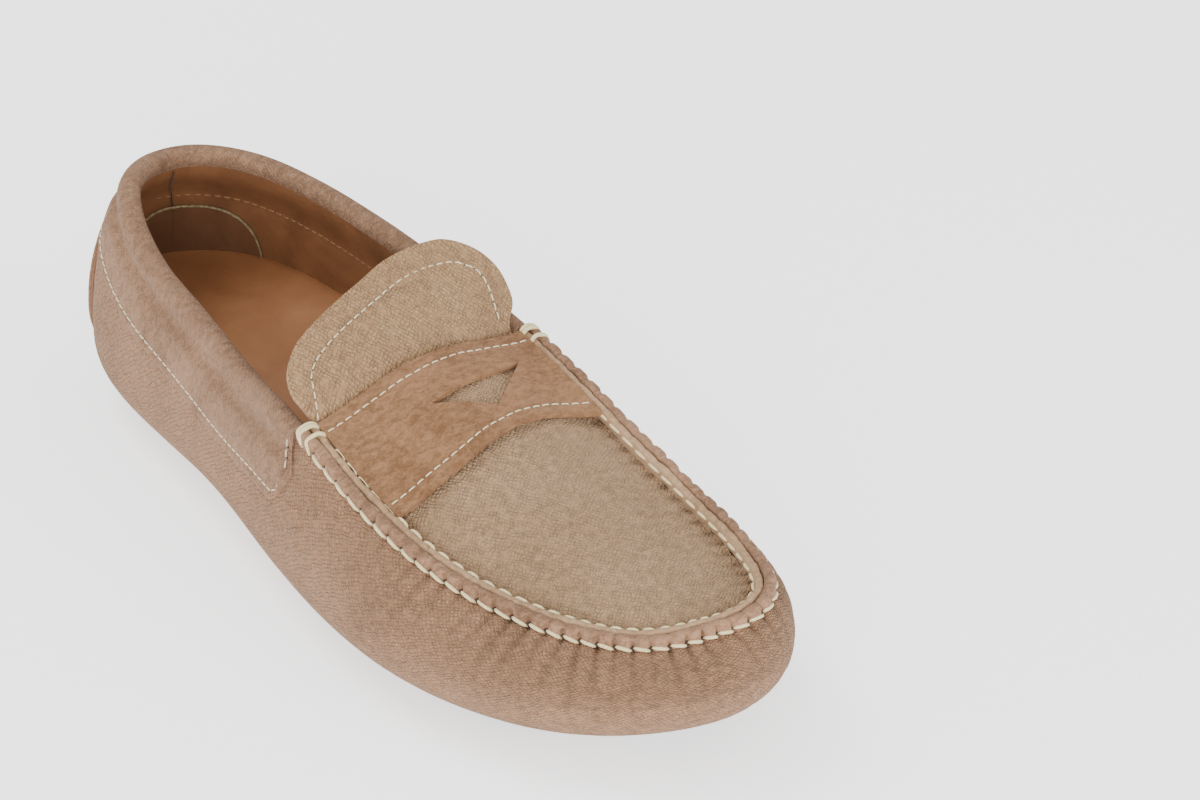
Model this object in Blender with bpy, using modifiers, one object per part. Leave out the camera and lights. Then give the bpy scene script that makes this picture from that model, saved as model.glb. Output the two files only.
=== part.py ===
"""A driving moccasin for the right foot.

One leather wall wraps the foot from below and is open at the collar. An apron closes the top of the
forefoot, and a raised seam joins the two. A padded collar tops the wall, a saddle strap crosses the
apron in front of the tongue, and studded rubber pads are set under heel, forefoot and toe.

The toe points along +X and the wearer's left, the inner side of the foot, is +Y. The origin is on the
floor, in the middle of the heel's tread.
"""

import math

import bmesh
import bpy
import numpy as np

# Driving sizes, in metres
LENGTH = 0.288            # back of the heel to the tip of the toe
BALL_WIDTH = 0.103        # across the wall at the ball of the foot
COLLAR_HEIGHT = 0.066     # floor to the middle of the padded rim at the back
INSTEP_RISE = 0.0072      # middle of the apron above its seam, at the throat
HEEL_CENTRE = 0.046       # back of the heel to the middle of the heel's tread
SOLE_HEIGHT = 0.0050      # floor to the underside of the wall
TOE_SPRING = 0.0090       # lift of the underside at the tip of the toe
HEEL_SPRING = 0.0040      # lift of the underside at the back of the heel
ARCH_RISE = 0.0025        # lift of the underside between the pads

# Leather and rubber
WALL = 0.0022
APRON = 0.0018
TONGUE = 0.0020
STRAP = 0.0016
HEEL_TAB = 0.0016
INSOLE = 0.0030           # thickness under the ball and the toes
PAD = 0.0025
GAP = 0.0003              # clearance between two pieces that touch

# Collar
COLLAR_DEPTH = 0.0200     # middle of the rim down to the edge of the band
COLLAR_PROUD = 0.0008     # how far the band stands out from the wall
RIM = 0.0066              # thickness of the padded rim
COLLAR_FOOT = 0.0012      # padding left at the lower edge of the band
COLLAR_CORNER = 0.0050    # rounding of the band's lower front corners
COLLAR_TIP = 0.0085       # what is left of the band's depth at its front ends
COLLAR_END = 0.0020       # distance from the collar's end to the start of the raised seam

# Raised seam
RIDGE_WIDTH = 0.0050
RIDGE_HEIGHT = 0.0036

# Strap and tongue
STRAP_LIFT = 0.0012       # how far the strap's front edge stands off the apron
STRAP_END = 0.0009        # distance from the strap's ends to the raised seam
TONGUE_LENGTH = 0.0325    # throat to the tip, level
TONGUE_RISE = 0.0205      # throat to the tip, upwards
TONGUE_WIDTH = 0.0750     # across its widest part
TONGUE_SKEW = 0.0165      # how far its tip leans to the inner side

# Heel tab
TAB_WIDTH = 0.0500
TAB_TAPER = 0.20          # how much narrower its top is
TAB_FOOT = -0.55          # share of the wall's profile at its lower edge

# Insole, which is thick under the heel
INSOLE_LEVEL = 0.0308     # floor to its edge at the heel
INSOLE_WEDGE = (0.22, 0.62)    # shares of LENGTH between which it thins down to the ball
INSOLE_HOLLOW = 0.055     # depth of its dished middle, as a share of its width

# Tread
PAD_INSET = 0.0004        # from the edge of the flat underside to the pad
PAD_CHAMFER = 0.0009
PAD_ROUND = 0.0260        # length over which a pad's end is rounded
STUD_RADIUS = 0.0042
STUD_PITCH = 0.0120
STUD_SIDES = 8
STUD_ROOT = 0.0008        # how far a stud reaches into its pad
STUD_MARGIN = 0.0012      # least distance from a stud to the edge of its pad
FOREFOOT_REST = (0.1300, -0.0040)

# The last, one row a section, from the back of the heel to the tip of the toe. Plan sizes are shares of
# LENGTH (x) and BALL_WIDTH (centre, half, inset), heights are shares of COLLAR_HEIGHT.
#   centre, half          middle and half width of the widest line
#   girth, roll           height of the widest line, and reach of the rounding below it
#   top, inset            height of the wall's edge, and how far it leans in, outer and inner side
#   turn                  how far the wall has curled over at its edge, in degrees
#   crown                 middle of the apron above its seam, as a share of INSTEP_RISE
COLUMNS = ("x", "centre", "half", "girth", "roll",
           "top_outer", "top_inner", "inset_outer", "inset_inner", "turn", "crown")
SECTIONS = (
    (0.000, 0.005, 0.000, 0.34, 0.17, 1.030, 1.030, 0.110, 0.110, 36, 1.00),
    (0.013, 0.003, 0.130, 0.34, 0.17, 1.040, 1.020, 0.112, 0.090, 36, 1.00),
    (0.055, 0.000, 0.264, 0.33, 0.18, 1.025, 0.998, 0.110, 0.065, 36, 1.00),
    (0.140, -0.004, 0.347, 0.31, 0.19, 0.905, 0.972, 0.105, 0.040, 36, 1.00),
    (0.270, -0.011, 0.376, 0.30, 0.20, 0.808, 0.948, 0.090, 0.025, 38, 1.00),
    (0.400, -0.024, 0.412, 0.30, 0.20, 0.757, 0.895, 0.090, 0.025, 42, 1.00),
    (0.515, -0.036, 0.458, 0.30, 0.20, 0.752, 0.830, 0.105, 0.045, 50, 1.00),
    (0.620, -0.042, 0.492, 0.30, 0.20, 0.656, 0.745, 0.130, 0.078, 58, 0.95),
    (0.720, -0.034, 0.500, 0.30, 0.20, 0.558, 0.650, 0.155, 0.098, 66, 0.80),
    (0.820, -0.009, 0.464, 0.31, 0.20, 0.500, 0.580, 0.165, 0.096, 72, 0.56),
    (0.910, 0.014, 0.370, 0.33, 0.20, 0.480, 0.560, 0.160, 0.075, 75, 0.34),
    (0.975, 0.035, 0.206, 0.36, 0.20, 0.490, 0.555, 0.140, 0.062, 76, 0.16),
    (1.000, 0.050, 0.000, 0.38, 0.20, 0.530, 0.530, 0.115, 0.115, 76, 0.00),
)
THROAT = 6                # row where the raised seam and the apron begin
TOE = len(SECTIONS) - 1
OUTER = -1
INNER = 1
STEPS = 4                 # stations a section
BELOW = (-1.0, -0.7, -0.36)    # shares of the wall's profile below its widest line
ABOVE = (0.0, 0.45, 0.97, 1.0)    # and above it, up to the collar's band

# Shares of LENGTH where the underside leaves the floor's level
HEEL_SPRING_END = 0.10
TOE_SPRING_START = 0.74
ARCH = (0.25, 0.53)

# Front edge of the strap: place across the apron from -1, outer, to 1, inner, and section row
STRAP_FRONT = (
    (-1.00, 7.40),
    (-0.30, 7.34),
    (0.12, 7.22),
    (0.36, 7.18),
    (0.66, 7.20),
    (1.00, 7.32),
)
SLOT = ((-0.22, 6.58), (0.74, 6.42), (0.24, 6.92))

# Tongue behind the throat: distance back, rise, width, curve across and lean to the inner side, as
# shares of the sizes above, and of the curve across the throat
TONGUE_ROWS = (
    (0.06, 0.05, 0.87, 0.97, 0.00),
    (0.20, 0.22, 0.93, 0.62, -0.05),
    (0.34, 0.36, 1.00, 0.52, 0.06),
    (0.50, 0.50, 0.99, 0.42, 0.18),
    (0.66, 0.65, 0.90, 0.32, 0.38),
    (0.80, 0.79, 0.70, 0.20, 0.70),
    (0.91, 0.90, 0.46, 0.10, 0.98),
    (0.97, 0.97, 0.31, 0.05, 1.08),
    (1.00, 1.00, 0.14, 0.00, 1.14),
)
TONGUE_UNDER = (6.75, 6.50, 6.25, 6.10)    # rows where it lies under the apron

# Pads: from and to, as shares of LENGTH
PADS = {
    "sole_heel": (0.046, 0.262),
    "sole_forefoot": (0.500, 0.895),
    "sole_toe": (0.906, 0.946),
}

# Colours: linear red, green and blue, and roughness
SUEDE = ((0.355, 0.245, 0.185), 0.90)
GRAIN = ((0.385, 0.290, 0.200), 0.70)
NAP = ((0.375, 0.235, 0.145), 0.92)
TAN = ((0.400, 0.165, 0.058), 0.50)
RUBBER = ((0.013, 0.013, 0.014), 0.60)


def column(name):
    """One column of the section table."""
    index = COLUMNS.index(name)
    return np.array([row[index] for row in SECTIONS], float)


def girth_ring():
    """Knots, in metres along it, and values of the closed widest line: heel, outer side, toe, inner side."""
    order = list(range(TOE + 1)) + list(range(TOE - 1, 0, -1))
    side = np.array([OUTER] * (TOE + 1) + [INNER] * (TOE - 1))

    def pick(outer, inner):
        return np.where(side < 0, column(outer)[order], column(inner)[order])

    values = np.stack([
        column("x")[order] * LENGTH - HEEL_CENTRE,
        (column("centre")[order] + side * column("half")[order]) * BALL_WIDTH,
        column("girth")[order] * COLLAR_HEIGHT,
        column("roll")[order] * COLLAR_HEIGHT,
        pick("top_outer", "top_inner") * COLLAR_HEIGHT,
        pick("inset_outer", "inset_inner") * BALL_WIDTH,
        np.radians(column("turn")[order]),
        column("crown")[order] * INSTEP_RISE,
    ], axis=1)
    plan = values[:, :2]
    gaps = np.linalg.norm(np.roll(plan, -1, axis=0) - plan, axis=1)
    return np.concatenate([[0.0], np.cumsum(gaps)]), values


def spline_bends(knots, values):
    """Second derivatives of the smooth closed curve through the values."""
    steps = np.diff(knots)
    count = len(steps)
    slopes = (np.roll(values, -1, axis=0) - values) / steps[:, None]
    system = np.zeros((count, count))
    for i in range(count):
        system[i, i - 1] += steps[i - 1]
        system[i, i] += 2 * (steps[i - 1] + steps[i])
        system[i, (i + 1) % count] += steps[i]
    return np.linalg.solve(system, 6 * (slopes - np.roll(slopes, 1, axis=0)))


KNOTS, RING = girth_ring()
BENDS = spline_bends(KNOTS, RING)


def ring_at(place):
    """Values of the widest line at places along it, in metres from the back of the heel."""
    place = np.mod(np.atleast_1d(np.asarray(place, float)), KNOTS[-1])
    i = np.clip(np.searchsorted(KNOTS, place, "right") - 1, 0, len(RING) - 1)
    j = (i + 1) % len(RING)
    step = (KNOTS[i + 1] - KNOTS[i])[:, None]
    a = (KNOTS[i + 1] - place)[:, None] / step
    b = 1 - a
    bend = (a ** 3 - a) * BENDS[i] + (b ** 3 - b) * BENDS[j]
    return a * RING[i] + b * RING[j] + bend * step ** 2 / 6


def place_of(row, side):
    """Place along the widest line of a section row, whole or part, on one side."""
    row = np.asarray(row, float)
    index = np.where(np.asarray(side) < 0, row, 2 * TOE - row)
    return np.interp(index, np.arange(len(KNOTS)), KNOTS)


THROAT_OUTER = float(place_of(THROAT, OUTER))
THROAT_INNER = float(place_of(THROAT, INNER))


def underside(x):
    """Height of the underside of the wall."""
    share = (np.asarray(x, float) + HEEL_CENTRE) / LENGTH
    toe = np.clip((share - TOE_SPRING_START) / (1 - TOE_SPRING_START), 0, None)
    heel = np.clip((HEEL_SPRING_END - share) / HEEL_SPRING_END, 0, None)
    along = np.clip((share - ARCH[0]) / (ARCH[1] - ARCH[0]), 0, 1)
    arch = ARCH_RISE * np.sin(math.pi * along) ** 2
    return SOLE_HEIGHT + TOE_SPRING * toe ** 2 + HEEL_SPRING * heel ** 2 + arch


def outwards(place):
    """Level unit vectors that point straight out of the widest line."""
    step = 0.0001
    along = ring_at(np.asarray(place) + step)[:, :2] - ring_at(np.asarray(place) - step)[:, :2]
    along /= np.linalg.norm(along, axis=1)[:, None]
    return np.stack([along[:, 1], -along[:, 0]], axis=1)


def profile(place, share):
    """Reach and height of the wall's outside, and its unit normal, at shares of its profile.

    Share -1 is the edge of the flat underside, 0 the widest line and 1 the top edge.
    """
    values = ring_at(place)
    girth, roll, top, inset, turn = values[:, 2:7].T
    low = underside(values[:, 0] - outwards(place)[:, 0] * roll)
    below = np.clip(-share, 0, 1) * math.pi / 2
    above = np.clip(share, 0, 1) * turn
    lean = inset / (1 - np.cos(turn))
    climb = (top - girth) / np.sin(turn)
    under = share < 0
    reach = np.where(under, -roll * (1 - np.cos(below)), -lean * (1 - np.cos(above)))
    height = np.where(under, girth - (girth - low) * np.sin(below), girth + climb * np.sin(above))
    reach_step = np.where(under, roll * np.sin(below), -lean * np.sin(above))
    height_step = np.where(under, (girth - low) * np.cos(below), climb * np.cos(above))
    size = np.hypot(reach_step, height_step)
    return reach, height, height_step / size, -reach_step / size


def skin(place, share, offset=0.0, rise=0.0):
    """Points on the wall: offset is outwards from its outside, rise goes on upwards along its profile."""
    share = np.broadcast_to(np.asarray(share, float), np.shape(np.atleast_1d(place)))
    reach, height, normal_out, normal_up = profile(place, share)
    reach = reach + offset * normal_out - rise * normal_up
    height = height + offset * normal_up + rise * normal_out
    return np.column_stack([ring_at(place)[:, :2] + outwards(place) * reach[:, None], height])


def climb_length(place):
    """Length of the wall's profile from the widest line up to its top edge."""
    shares = np.linspace(0, 1, 13)
    line = np.array([skin(place, share) for share in shares])
    return np.linalg.norm(np.diff(line, axis=0), axis=2).sum(axis=0)


def collar_depth(place):
    """Depth of the collar's band, rounded off at its two front ends."""
    place = np.mod(np.atleast_1d(np.asarray(place, float)), KNOTS[-1])
    to_end = np.where(place < THROAT_INNER, THROAT_OUTER - place, place - THROAT_INNER) - COLLAR_END
    along = np.clip(to_end / COLLAR_CORNER, 0, 1)
    return COLLAR_TIP + (COLLAR_DEPTH - COLLAR_TIP) * np.sin(along * math.pi / 2)


def collar_share(place):
    """Share of the profile just under the collar's edge, carried on along the raised seam."""
    step = 0.0005
    slope = (collar_depth(place + step) - collar_depth(place - step)) / (2 * step)
    return 1 - (collar_depth(place) + GAP * np.hypot(1, slope)) / climb_length(place)


def edge_share(place):
    """Share of the profile at the top edge of the wall: under the collar, or at the raised seam."""
    place = np.mod(np.atleast_1d(np.asarray(place, float)), KNOTS[-1])
    in_seam = (place >= THROAT_OUTER) & (place <= THROAT_INNER)
    return np.where(in_seam, 1.0, collar_share(place))


def material(name, finish):
    """A plain material of one colour."""
    colour, roughness = finish
    made = bpy.data.materials.new(name)
    made.use_nodes = True
    shader = made.node_tree.nodes["Principled BSDF"]
    shader.inputs["Base Color"].default_value = (*colour, 1.0)
    shader.inputs["Roughness"].default_value = roughness
    shader.inputs["Metallic"].default_value = 0.0
    return made


def new_piece(name, mesh, finish, collection):
    """An object with its own material, in a collection."""
    piece = bpy.data.objects.new(name, mesh)
    piece.data.materials.append(material(name, finish))
    collection.objects.link(piece)
    return piece


def loft(name, sections, ring=False, caps=True, flip=False):
    """Mesh through sections with equal numbers of points; ring closes each section, caps both ends."""
    shape = bmesh.new()
    rows = [[shape.verts.new(point) for point in section] for section in sections]
    width = len(rows[0])
    columns = range(width if ring else width - 1)
    for low, high in zip(rows[:-1], rows[1:]):
        for i in columns:
            j = (i + 1) % width
            shape.faces.new((low[i], low[j], high[j], high[i]))
    if ring and caps:
        shape.faces.new(rows[0])
        shape.faces.new(rows[-1][::-1])
    bmesh.ops.remove_doubles(shape, verts=shape.verts, dist=0.000001)
    if ring:
        bmesh.ops.recalc_face_normals(shape, faces=shape.faces)
    if flip:
        bmesh.ops.reverse_faces(shape, faces=shape.faces)
    mesh = bpy.data.meshes.new(name)
    shape.to_mesh(mesh)
    shape.free()
    mesh.shade_smooth()
    mesh.set_sharp_from_angle(angle=math.radians(50))
    return mesh


def thicken(piece, thickness, inward):
    """Give an open surface its thickness, on the inner or the outer side of its faces."""
    shell = piece.modifiers.new("thickness", "SOLIDIFY")
    shell.thickness = thickness
    shell.offset = -1.0 if inward else 1.0
    shell.use_quality_normals = True


def stations(first, last, steps=STEPS):
    """Section rows, whole and part, between two rows."""
    return np.linspace(first, last, int(round((last - first) * steps)) + 1)


def wall_rows():
    """Section rows for a whole wall, closer together where the collar's band is rounded off."""
    near_throat = THROAT - np.array([0.35, 0.25, 0.15, 0.08, 0.015])
    outer_end = THROAT - COLLAR_END / (place_of(THROAT, OUTER) - place_of(THROAT - 1, OUTER))
    inner_end = THROAT - COLLAR_END / (place_of(THROAT - 1, INNER) - place_of(THROAT, INNER))
    toe = np.array([TOE - 0.12])
    rows = np.concatenate([stations(0, TOE), near_throat, toe, [outer_end, inner_end]])
    return np.unique(np.round(rows, 4))


def floor_line(row, offset, count):
    """Line across the flat underside at one row, without its two ends."""
    outer = skin(place_of(row, OUTER), -1)[0]
    inner = skin(place_of(row, INNER), -1)[0]
    shares = np.linspace(0, 1, count + 2)[1:-1]
    line = outer + (inner - outer) * shares[:, None]
    line[:, 2] = underside(line[:, 0]) + offset
    return line


def make_upper(collection):
    """The wall: heel, sides, toe and underside in one piece of leather."""
    sections = []
    for row in wall_rows():
        sides = {}
        for side in (OUTER, INNER):
            place = place_of(row, side)
            under_collar = collar_share(place)[0]
            edge = edge_share(place)[0]
            shares = [*BELOW, *[share * under_collar for share in ABOVE], (under_collar + edge) / 2, edge]
            sides[side] = [skin(place, share)[0] for share in shares]
        sections.append(sides[OUTER][::-1] + list(floor_line(row, 0.0, 3)) + sides[INNER])
    upper = new_piece("upper", loft("upper", sections), SUEDE, collection)
    thicken(upper, WALL, inward=True)


def collar_section(place):
    """Section of the padded collar: up its outside, over the rim and down its lining."""
    depth = collar_depth(place)[0]
    length = climb_length(place)[0]
    radius = RIM / 2
    middle = COLLAR_PROUD - radius
    points = []
    for part in (1.0, 0.75, 0.5, 0.25):
        points.append(skin(place, 1 - depth * part / length, COLLAR_PROUD)[0])
    for angle in np.radians((0, 36, 72, 108, 144, 180)):
        offset = middle + radius * math.cos(angle)
        points.append(skin(place, 1.0, offset, radius * math.sin(angle))[0])
    for part in (0.25, 0.5, 0.75, 1.0):
        padding = (RIM - COLLAR_PROUD) * (1 - part) + (WALL + COLLAR_FOOT) * part
        points.append(skin(place, 1 - depth * part / length, -padding)[0])
    return points


def make_collar(collection):
    """The padded band around the opening, from the throat back around the heel."""
    rows = wall_rows()
    rows = rows[rows < THROAT - 0.001]
    places = []
    for side in (INNER, OUTER):
        end = THROAT_INNER + COLLAR_END if side == INNER else THROAT_OUTER - COLLAR_END
        own = place_of(rows, side)
        own = own[own > end + 0.0001] if side == INNER else own[own < end - 0.0001]
        own = list(own) + [end]
        places += own[:0:-1] if side == INNER else own
    sections = [collar_section(place) for place in places]
    new_piece("collar", loft("collar", sections, ring=True), SUEDE, collection)


def seam_places(start=THROAT):
    """Places along the raised seam, from the outer side around the toe to the inner side."""
    rows = np.concatenate([stations(start, TOE - 1), stations(TOE - 1, TOE, 6)[1:]])
    outer = place_of(rows, OUTER)
    inner = place_of(rows, INNER)[::-1]
    return np.concatenate([outer, inner[1:]])


def level_inset(place, inset, height=0.0):
    """Point moved in, level, from the wall's top edge, and raised."""
    edge = skin(place, 1.0)[0]
    edge[:2] -= outwards(place)[0] * inset
    edge[2] += height
    return edge


def make_seam_ridge(collection):
    """The raised seam where wall and apron are stitched together."""
    shape = ((0.0, 0.0), (0.0, 0.75), (0.12, 0.95), (0.4, 1.0), (0.6, 1.0), (0.88, 0.95), (1.0, 0.75), (1.0, 0.0))
    sections = []
    for place in seam_places():
        points = []
        for across, up in shape:
            height = GAP + (RIDGE_HEIGHT - GAP) * up
            points.append(level_inset(place, RIDGE_WIDTH * across, height))
        sections.append(points)
    new_piece("seam_ridge", loft("seam_ridge", sections, ring=True), SUEDE, collection)


SHELF = RIDGE_WIDTH + GAP


def edge_clearance(place):
    """Level distance from the wall's outer top edge to the apron."""
    last_facet = (collar_share(place) + 3) / 4
    normal_out = profile(place, last_facet)[2][0]
    return WALL * normal_out + GAP


def apron_surface(row, across):
    """Points on the apron along one row. Across runs from -1, at the seam's outer side, to 1."""
    outer_place = place_of(row, OUTER)
    inner_place = place_of(row, INNER)
    outer = level_inset(outer_place, SHELF)
    inner = level_inset(inner_place, SHELF)
    crown = (ring_at(outer_place)[0, 7] + ring_at(inner_place)[0, 7]) / 2
    line = outer + (inner - outer) * (across[:, None] + 1) / 2
    line[:, 2] += crown * np.clip(1 - across ** 2, 0, 1) ** 1.4
    return line


def apron_line(row, across, offset=0.0):
    """Points along one row of the apron, moved off it along its normal."""
    across = np.asarray(across, float)
    line = apron_surface(row, across)
    if offset == 0:
        return line
    step = 0.02
    forward = apron_surface(row + step, across) - apron_surface(row - step, across)
    sideways = apron_surface(row, across + step) - apron_surface(row, across - step)
    normal = np.cross(forward, sideways)
    normal /= np.linalg.norm(normal, axis=1)[:, None]
    return line + normal * offset


ACROSS = np.array([-1.0, -0.85, -0.65, -0.4, -0.14, 0.14, 0.4, 0.65, 0.85, 1.0])


def make_apron(collection):
    """The apron on top of the forefoot, with a level edge under the raised seam."""
    rows = np.concatenate([[THROAT + 0.1], stations(THROAT + 0.25, TOE - 1), stations(TOE - 1, TOE, 6)[1:]])
    sections = []
    for row in rows:
        ends = []
        for side in (OUTER, INNER):
            place = place_of(row, side)
            ends.append(level_inset(place, edge_clearance(place)))
        sections.append([ends[0], *apron_line(row, ACROSS), ends[1]])
    apron = new_piece("apron", loft("apron", sections, flip=True), GRAIN, collection)
    thicken(apron, APRON, inward=True)


def strap_front(across):
    """Row of the strap's front edge."""
    table = np.array(STRAP_FRONT)
    return np.interp(across, table[:, 0], table[:, 1])


def strap_point(across, part):
    """Point under the strap; part runs from 0, its back edge, to 1, its front edge.

    The strap's ends climb to the top of the raised seam, and its front edge stands off the apron.
    """
    row = THROAT + (strap_front(across) - THROAT) * part
    lift = STRAP_LIFT * part ** 2 * (1 - across ** 2) + (RIDGE_HEIGHT - STRAP) * across ** 4
    ends = apron_line(row, [-1.0, 1.0])
    reach = 1 - 2 * STRAP_END / np.linalg.norm(ends[1] - ends[0])
    return apron_line(row, [across * reach], GAP + lift)[0]


def slot_cutter(collection):
    """Upright prism through the strap's slot."""
    outline = bpy.data.curves.new("slot_outline", "CURVE")
    outline.dimensions = "2D"
    outline.fill_mode = "BOTH"
    outline.extrude = COLLAR_HEIGHT / 2
    spline = outline.splines.new("POLY")
    spline.points.add(len(SLOT) - 1)
    for point, (across, row) in zip(spline.points, SLOT):
        place = apron_line(row, [across])[0]
        point.co = (place[0], place[1], 0.0, 1.0)
    spline.use_cyclic_u = True
    drawn = bpy.data.objects.new("slot_outline", outline)
    drawn.location.z = COLLAR_HEIGHT
    collection.objects.link(drawn)
    bpy.context.view_layer.update()
    depsgraph = bpy.context.evaluated_depsgraph_get()
    mesh = bpy.data.meshes.new_from_object(drawn.evaluated_get(depsgraph))
    shape = bmesh.new()
    shape.from_mesh(mesh)
    bmesh.ops.remove_doubles(shape, verts=shape.verts, dist=0.000001)
    bmesh.ops.recalc_face_normals(shape, faces=shape.faces)
    shape.to_mesh(mesh)
    shape.free()
    cutter = bpy.data.objects.new("slot_cutter", mesh)
    cutter.matrix_world = drawn.matrix_world.copy()
    cutter.hide_render = True
    cutter.display_type = "WIRE"
    collection.objects.link(cutter)
    bpy.data.objects.remove(drawn)
    return cutter


def make_strap(collection, cutters):
    """The saddle strap, wide at its ends, with a slot in the middle."""
    across = np.linspace(-1, 1, 17)
    sections = [[strap_point(place, part) for place in across] for part in np.linspace(0, 1, 5)]
    strap = new_piece("strap", loft("strap", sections, flip=True), NAP, collection)
    thicken(strap, STRAP, inward=False)
    slot = strap.modifiers.new("slot", "BOOLEAN")
    slot.operation = "DIFFERENCE"
    slot.object = slot_cutter(cutters)


def make_tongue(collection):
    """The tongue, from under the apron up and back over the opening."""
    across = ACROSS[1:-1]
    depth = -(APRON + GAP)
    sections = [apron_line(row, across, depth) for row in TONGUE_UNDER]
    throat = sections[-1]
    middle = (throat.max(axis=0) + throat.min(axis=0)) / 2
    middle[2] = throat[:, 2].max()
    foot = abs(throat[-1, 1] - throat[0, 1])
    for back, rise, width, curve, lean in TONGUE_ROWS:
        line = throat.copy()
        line[:, 0] -= back * TONGUE_LENGTH
        line[:, 1] = middle[1] + (throat[:, 1] - middle[1]) * width * TONGUE_WIDTH / foot
        line[:, 1] += lean * TONGUE_SKEW
        line[:, 2] = middle[2] + (throat[:, 2] - middle[2]) * curve + rise * TONGUE_RISE
        sections.append(line)
    tongue = new_piece("tongue", loft("tongue", sections), GRAIN, collection)
    thicken(tongue, TONGUE, inward=True)


def make_heel_tab(collection):
    """The tab over the seam at the back of the heel, up to the collar's band."""
    sections = []
    for across in np.linspace(-1, 1, 9):
        column_points = []
        for up in np.linspace(0, 1, 8):
            place = np.atleast_1d(across * TAB_WIDTH / 2 * (1 - TAB_TAPER * up))
            top = edge_share(place)[0]
            share = TAB_FOOT + (top - TAB_FOOT) * up
            column_points.append(skin(place, share, GAP)[0])
        sections.append(column_points)
    tab = new_piece("heel_tab", loft("heel_tab", sections, flip=True), SUEDE, collection)
    thicken(tab, HEEL_TAB, inward=False)


def insole_level(x):
    """Height of the insole's top edge, and how much of its wedge is left."""
    thin = underside(x) + WALL + GAP + INSOLE
    share = (x + HEEL_CENTRE) / LENGTH
    along = np.clip((share - INSOLE_WEDGE[0]) / (INSOLE_WEDGE[1] - INSOLE_WEDGE[0]), 0, 1)
    wedge = (1 + math.cos(along * math.pi)) / 2
    return thin + (INSOLE_LEVEL - thin) * wedge, wedge


def up_the_inside(place, depth, level):
    """Points up the inside of the wall on its own facets, stopped at a level."""
    under_collar = collar_share(place)[0]
    shares = [*BELOW, *[share * under_collar for share in ABOVE[:2]]]
    line = np.array([skin(place, share, -depth)[0] for share in shares])
    top = np.array([np.interp(level, line[:, 2], line[:, 0]), np.interp(level, line[:, 2], line[:, 1]), level])
    return [point if point[2] < level else top for point in line]


def make_insole(collection):
    """The insole: a wedge that fills the wall under the heel and thins down to the ball."""
    depth = WALL + GAP
    sections = []
    for row in wall_rows():
        level, wedge = insole_level(float(ring_at(place_of(row, OUTER))[0, 0]))
        outer = up_the_inside(place_of(row, OUTER), depth, level)
        inner = up_the_inside(place_of(row, INNER), depth, level)
        hollow = INSOLE_HOLLOW * np.linalg.norm(inner[-1] - outer[-1]) * wedge
        top = []
        for across in (0.5, 0.0, -0.5):
            point = (inner[-1] + outer[-1]) / 2 + (inner[-1] - outer[-1]) / 2 * across
            point[2] -= hollow * (1 - across ** 2)
            top.append(point)
        sections.append(outer[::-1] + list(floor_line(row, depth, 3)) + inner + top)
    new_piece("insole", loft("insole", sections, ring=True, caps=False), TAN, collection)


def tread_edge(x, side):
    """Y of the edge of the tread at a place along the shoe."""
    places = place_of(np.linspace(0, TOE, 97), side)
    line = skin(places, -1)
    return np.interp(x, line[:, 0], line[:, 1]) - side * PAD_INSET


def pad_half(x, start, end):
    """Middle and half width of a pad, with rounded ends."""
    outer = tread_edge(x, OUTER)
    inner = tread_edge(x, INNER)
    length = min(PAD_ROUND, (end - start) / 2)
    to_end = np.clip(np.minimum(x - start, end - x) / length, 0, 1)
    rounding = np.sqrt(1 - (1 - to_end) ** 2)
    return (outer + inner) / 2, (inner - outer) / 2 * rounding


def pad_section(x, start, end):
    """Section across a pad, with its lower edges taken off."""
    middle, half = pad_half(x, start, end)
    half = max(half, 2 * PAD_CHAMFER)
    top = underside(x) - GAP
    low = top - PAD
    inset = half - PAD_CHAMFER
    outline = ((-half, top), (half, top), (half, low + PAD_CHAMFER), (inset, low),
               (-inset, low), (-half, low + PAD_CHAMFER))
    return [(x, middle + y, z) for y, z in outline]


def stud_places(start, end, centre):
    """Places of the studs: a triangular pattern around one of them, kept inside the pad."""
    reach = int(LENGTH / STUD_PITCH)
    spacing = STUD_PITCH * math.sqrt(3) / 2
    margin = STUD_RADIUS + STUD_MARGIN
    places = []
    for i in range(-reach, reach + 1):
        x = centre[0] + i * spacing
        if x < start + margin or x > end - margin:
            continue
        middle, half = pad_half(x, start, end)
        for j in range(-reach, reach + 1):
            y = centre[1] + (j + 0.5 * (i % 2)) * STUD_PITCH
            if abs(y - middle) < half - margin:
                places.append((x, y))
    return places


def make_studs(name, places, collection):
    """All studs of one pad as a hidden tool that is joined to it."""
    shape = bmesh.new()
    height = SOLE_HEIGHT - GAP - PAD + STUD_ROOT
    for x, y in places:
        made = bmesh.ops.create_cone(shape, cap_ends=True, segments=STUD_SIDES, depth=height,
                                     radius1=STUD_RADIUS * 0.86, radius2=STUD_RADIUS)
        low = underside(x) - SOLE_HEIGHT
        bmesh.ops.translate(shape, verts=made["verts"], vec=(x, y, low + height / 2))
    mesh = bpy.data.meshes.new(name)
    shape.to_mesh(mesh)
    shape.free()
    studs = bpy.data.objects.new(name, mesh)
    studs.hide_render = True
    studs.display_type = "WIRE"
    collection.objects.link(studs)
    return studs


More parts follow.
